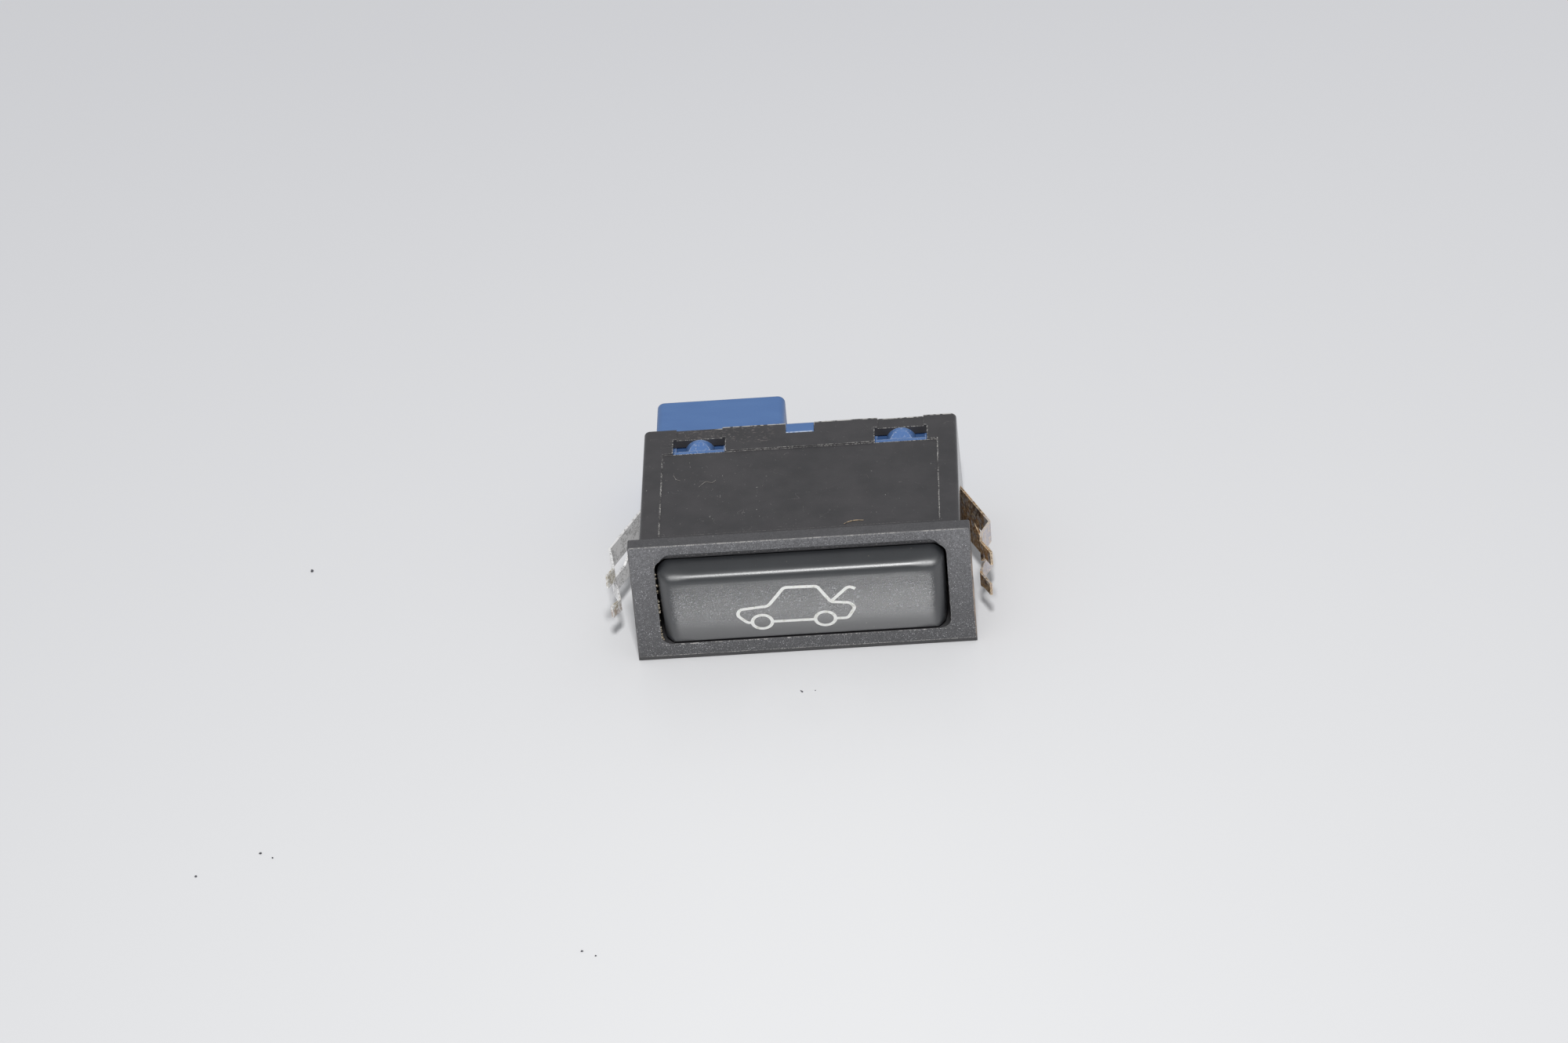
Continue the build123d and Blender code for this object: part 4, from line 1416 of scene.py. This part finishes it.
@dataclass
class DustAndLint:
    """What years in a dashboard leave: crumbs in the button's gap and fibres on the roof."""

    seed: int = 61
    roof: float = 7.3
    gap_wall: float = -18.8
    gap_y: Point = (-1.85, -1.2)
    gap_z: Point = (-5.4, 4.6)
    crumbs: int = 30
    crumb_size: Point = (0.1, 0.28)
    # Y, Z and size of the larger crumbs in the gap's lower corner.
    clots: tuple[Point3, ...] = ((-1.6, -5.75, 0.42), (-1.75, -5.3, 0.3), (-1.5, -4.9, 0.26))
    fibres: tuple[tuple[str, str, float, tuple[Point, ...]], ...] = (
        ("fibre_tan", "lint", 0.075, ((5.8, 3.15), (6.5, 3.6), (7.35, 3.8), (8.5, 3.7))),
        (
            "fibre_pale_a", "pale_lint", 0.04,
            ((-13.2, 14.0), (-12.3, 15.2), (-11.5, 14.9), (-10.9, 15.6)),
        ),
        ("fibre_pale_b", "pale_lint", 0.035, ((-16.6, 17.2), (-16.2, 16.2), (-15.6, 15.8))),
    )

    def fibre(self, name: str, coat: str, radius: float, knots: tuple[Point, ...]) -> None:
        """Lay one curled fibre on the roof.

        Args:
            name: the piece's name.
            coat: its finish.
            radius: its radius in mm.
            knots: the places it passes, as (x, y) in mm.
        """
        spots = [Vector(knot) for knot in knots]
        spots = [spots[0] * 2 - spots[1], *spots, spots[-1] * 2 - spots[-2]]
        path = []
        for a, b, c, d in zip(spots, spots[1:], spots[2:], spots[3:]):
            for i in range(8):
                t = i / 8
                square = (a * 2 - b * 5 + c * 4 - d) * t ** 2
                cube = (b * 3 - a - c * 3 + d) * t ** 3
                spot = (b * 2 + (c - a) * t + square + cube) / 2
                path.append(Vector((spot.x, spot.y, self.roof + radius * 0.8)))
        # It thins to half its radius towards both ends.
        radii = [
            radius * (0.45 + 0.55 * math.sin(math.pi * (i + 1) / (len(path) + 1)))
            for i in range(len(path))
        ]
        points, faces = tube(path, radii, 6)
        piece(name, points, faces, coat, "housing")

    def stuck(self, size: float) -> float:
        """Return the X at which a crumb of this size clings to the gap's wall."""
        return self.gap_wall + size * 0.4

    def build(self) -> None:
        """Lay the fibres and scatter the crumbs."""
        for fibre in self.fibres:
            self.fibre(*fibre)
        draw = random.Random(self.seed)
        for index in range(self.crumbs):
            size = draw.uniform(*self.crumb_size)
            place = (self.stuck(size), draw.uniform(*self.gap_y), draw.uniform(*self.gap_z))
            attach(crumb(f"crumb_{index:02d}", "dust", place, size, draw), "housing")
        for index, (y, z, size) in enumerate(self.clots):
            place = (self.stuck(size), y, z)
            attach(crumb(f"clot_{index}", "dust", place, size, draw), "housing")
        LOG.info("debris: %d fibres, %d crumbs", len(self.fibres), self.crumbs + len(self.clots))


@dataclass(frozen=True)
class SquareLamp:
    """A square lamp that faces the switch: its side and distance in mm, its angles in degrees."""

    name: str
    watts: float
    side: float
    distance: float
    right: float
    up: float


@dataclass
class Studio:
    """The table, the light and the camera; angles in degrees."""

    seed: int = 7
    table_half: float = 2500.0
    box_foot: float = -7.5
    clearance: float = 0.01
    azimuth: float = 3.285
    elevation: float = 33.0
    roll: float = 5.278
    distance: float = 715.8
    target: Point3 = (-2.266, 10.0, 3.791)
    lens: float = 126.13
    sensor: float = 36.0
    sight: Point = (10.0, 20000.0)
    room: float = 0.42
    room_tone: str = "#f2f4f6"
    backdrop_tone: str = "#d6d8da"
    lamps: tuple[SquareLamp, ...] = (
        SquareLamp("key", 9.0, 140.0, 1200.0, 5.0, 55.0),
        SquareLamp("table_bounce", 0.84, 160.0, 900.0, 3.0, -57.0),
    )
    # X, Y and size of each speck of grit.
    marks: tuple[Point3, ...] = (
        (-0.8, -10.1, 0.3), (-0.95, -9.9, 0.2), (0.9, -10.0, 0.16), (-66.6, 22.6, 0.5),
        (-68.8, -36.6, 0.4), (-67.2, -37.6, 0.3), (-76.6, -40.4, 0.35), (-27.6, -59.0, 0.35),
        (-25.9, -60.0, 0.25),
    )

    def table(self) -> None:
        """Lay the table under the bezel's rear edge and the box's rear edge, with its grit."""
        low, high = (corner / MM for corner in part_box("housing"))
        rise = (self.box_foot - low.z) / high.y
        ends = (-self.table_half, self.table_half)
        points = [(x, y, low.z + rise * y - self.clearance) for y in ends for x in ends]
        top = piece("table_top", points, [[0, 1, 3, 2]], "table", smooth=False)
        # The bounce lamp stands for the key's image in the polished top, so it shines through it.
        top.visible_shadow = False
        draw = random.Random(self.seed)
        for index, (x, y, size) in enumerate(self.marks):
            place = (x, y, low.z + rise * y + size * 0.15)
            crumb(f"table_mark_{index}", "grit", place, size, draw)

    def light(self) -> None:
        """Set a small key light high in front, its bounce off the table, and an even pale room."""
        for lamp in self.lamps:
            light = bpy.data.lights.new(lamp.name, "AREA")
            light.shape, light.size, light.energy = "SQUARE", lamp.side * MM, lamp.watts
            light.cycles.use_multiple_importance_sampling = lamp.up > 0
            stand = bpy.data.objects.new(lamp.name, light)
            bpy.context.scene.collection.objects.link(stand)
            turn, tilt = math.radians(lamp.right), math.radians(lamp.up)
            reach = math.cos(tilt)
            way = Vector((math.sin(turn) * reach, -math.cos(turn) * reach, math.sin(tilt)))
            stand.location = way * lamp.distance * MM
            stand.rotation_euler = way.to_track_quat("Z", "Y").to_euler()
        world = bpy.data.worlds.new("room")
        world.use_nodes = True
        bpy.context.scene.world = world
        tree = world.node_tree
        tree.nodes.clear()
        path = add_node(tree, "LightPath").outputs
        seen = {0: path["Is Camera Ray"], 1: path["Is Transmission Ray"]}
        seen = add_node(tree, "Math", seen, operation="MAXIMUM")
        room = add_node(
            tree, "Background", {"Color": linear(self.room_tone), "Strength": self.room}
        )
        backdrop = add_node(tree, "Background", {"Color": linear(self.backdrop_tone)})
        mix = add_node(tree, "MixShader", {0: seen, 1: room, 2: backdrop})
        add_node(tree, "OutputWorld", {"Surface": mix})

    def camera(self) -> None:
        """Stand the camera where it looks down on the bezel."""
        az, el, roll = (math.radians(angle) for angle in (self.azimuth, self.elevation, self.roll))
        ahead = Vector((-math.sin(az) * math.cos(el), math.cos(az) * math.cos(el), -math.sin(el)))
        level = Vector((math.cos(az), math.sin(az), 0))
        upright = level.cross(ahead)
        right = level * math.cos(roll) - upright * math.sin(roll)
        up = level * math.sin(roll) + upright * math.cos(roll)
        data = bpy.data.cameras.new("camera")
        data.lens, data.sensor_width = self.lens, self.sensor
        data.clip_start, data.clip_end = (reach * MM for reach in self.sight)
        camera = bpy.data.objects.new("camera", data)
        bpy.context.scene.collection.objects.link(camera)
        axes = Matrix((right, up, -ahead)).transposed().to_4x4()
        place = (Vector(self.target) - ahead * self.distance) * MM
        camera.matrix_world = Matrix.Translation(place) @ axes
        bpy.context.scene.camera = camera

    def build(self) -> None:
        """Set up table, light and camera."""
        self.table()
        self.light()
        self.camera()
        bpy.context.scene.view_settings.view_transform = "Standard"
        LOG.info("studio: set up")


def main() -> None:
    """Build the switch and its studio, one class after another."""
    logging.basicConfig(level=logging.INFO, format="%(name)s: %(message)s")
    for build in (
        HousingShell, PushButton, ConnectorCarrier, SwitchWorks, SideClips, DustAndLint, Studio
    ):
        build().build()


if __name__ == "__main__":
    main()
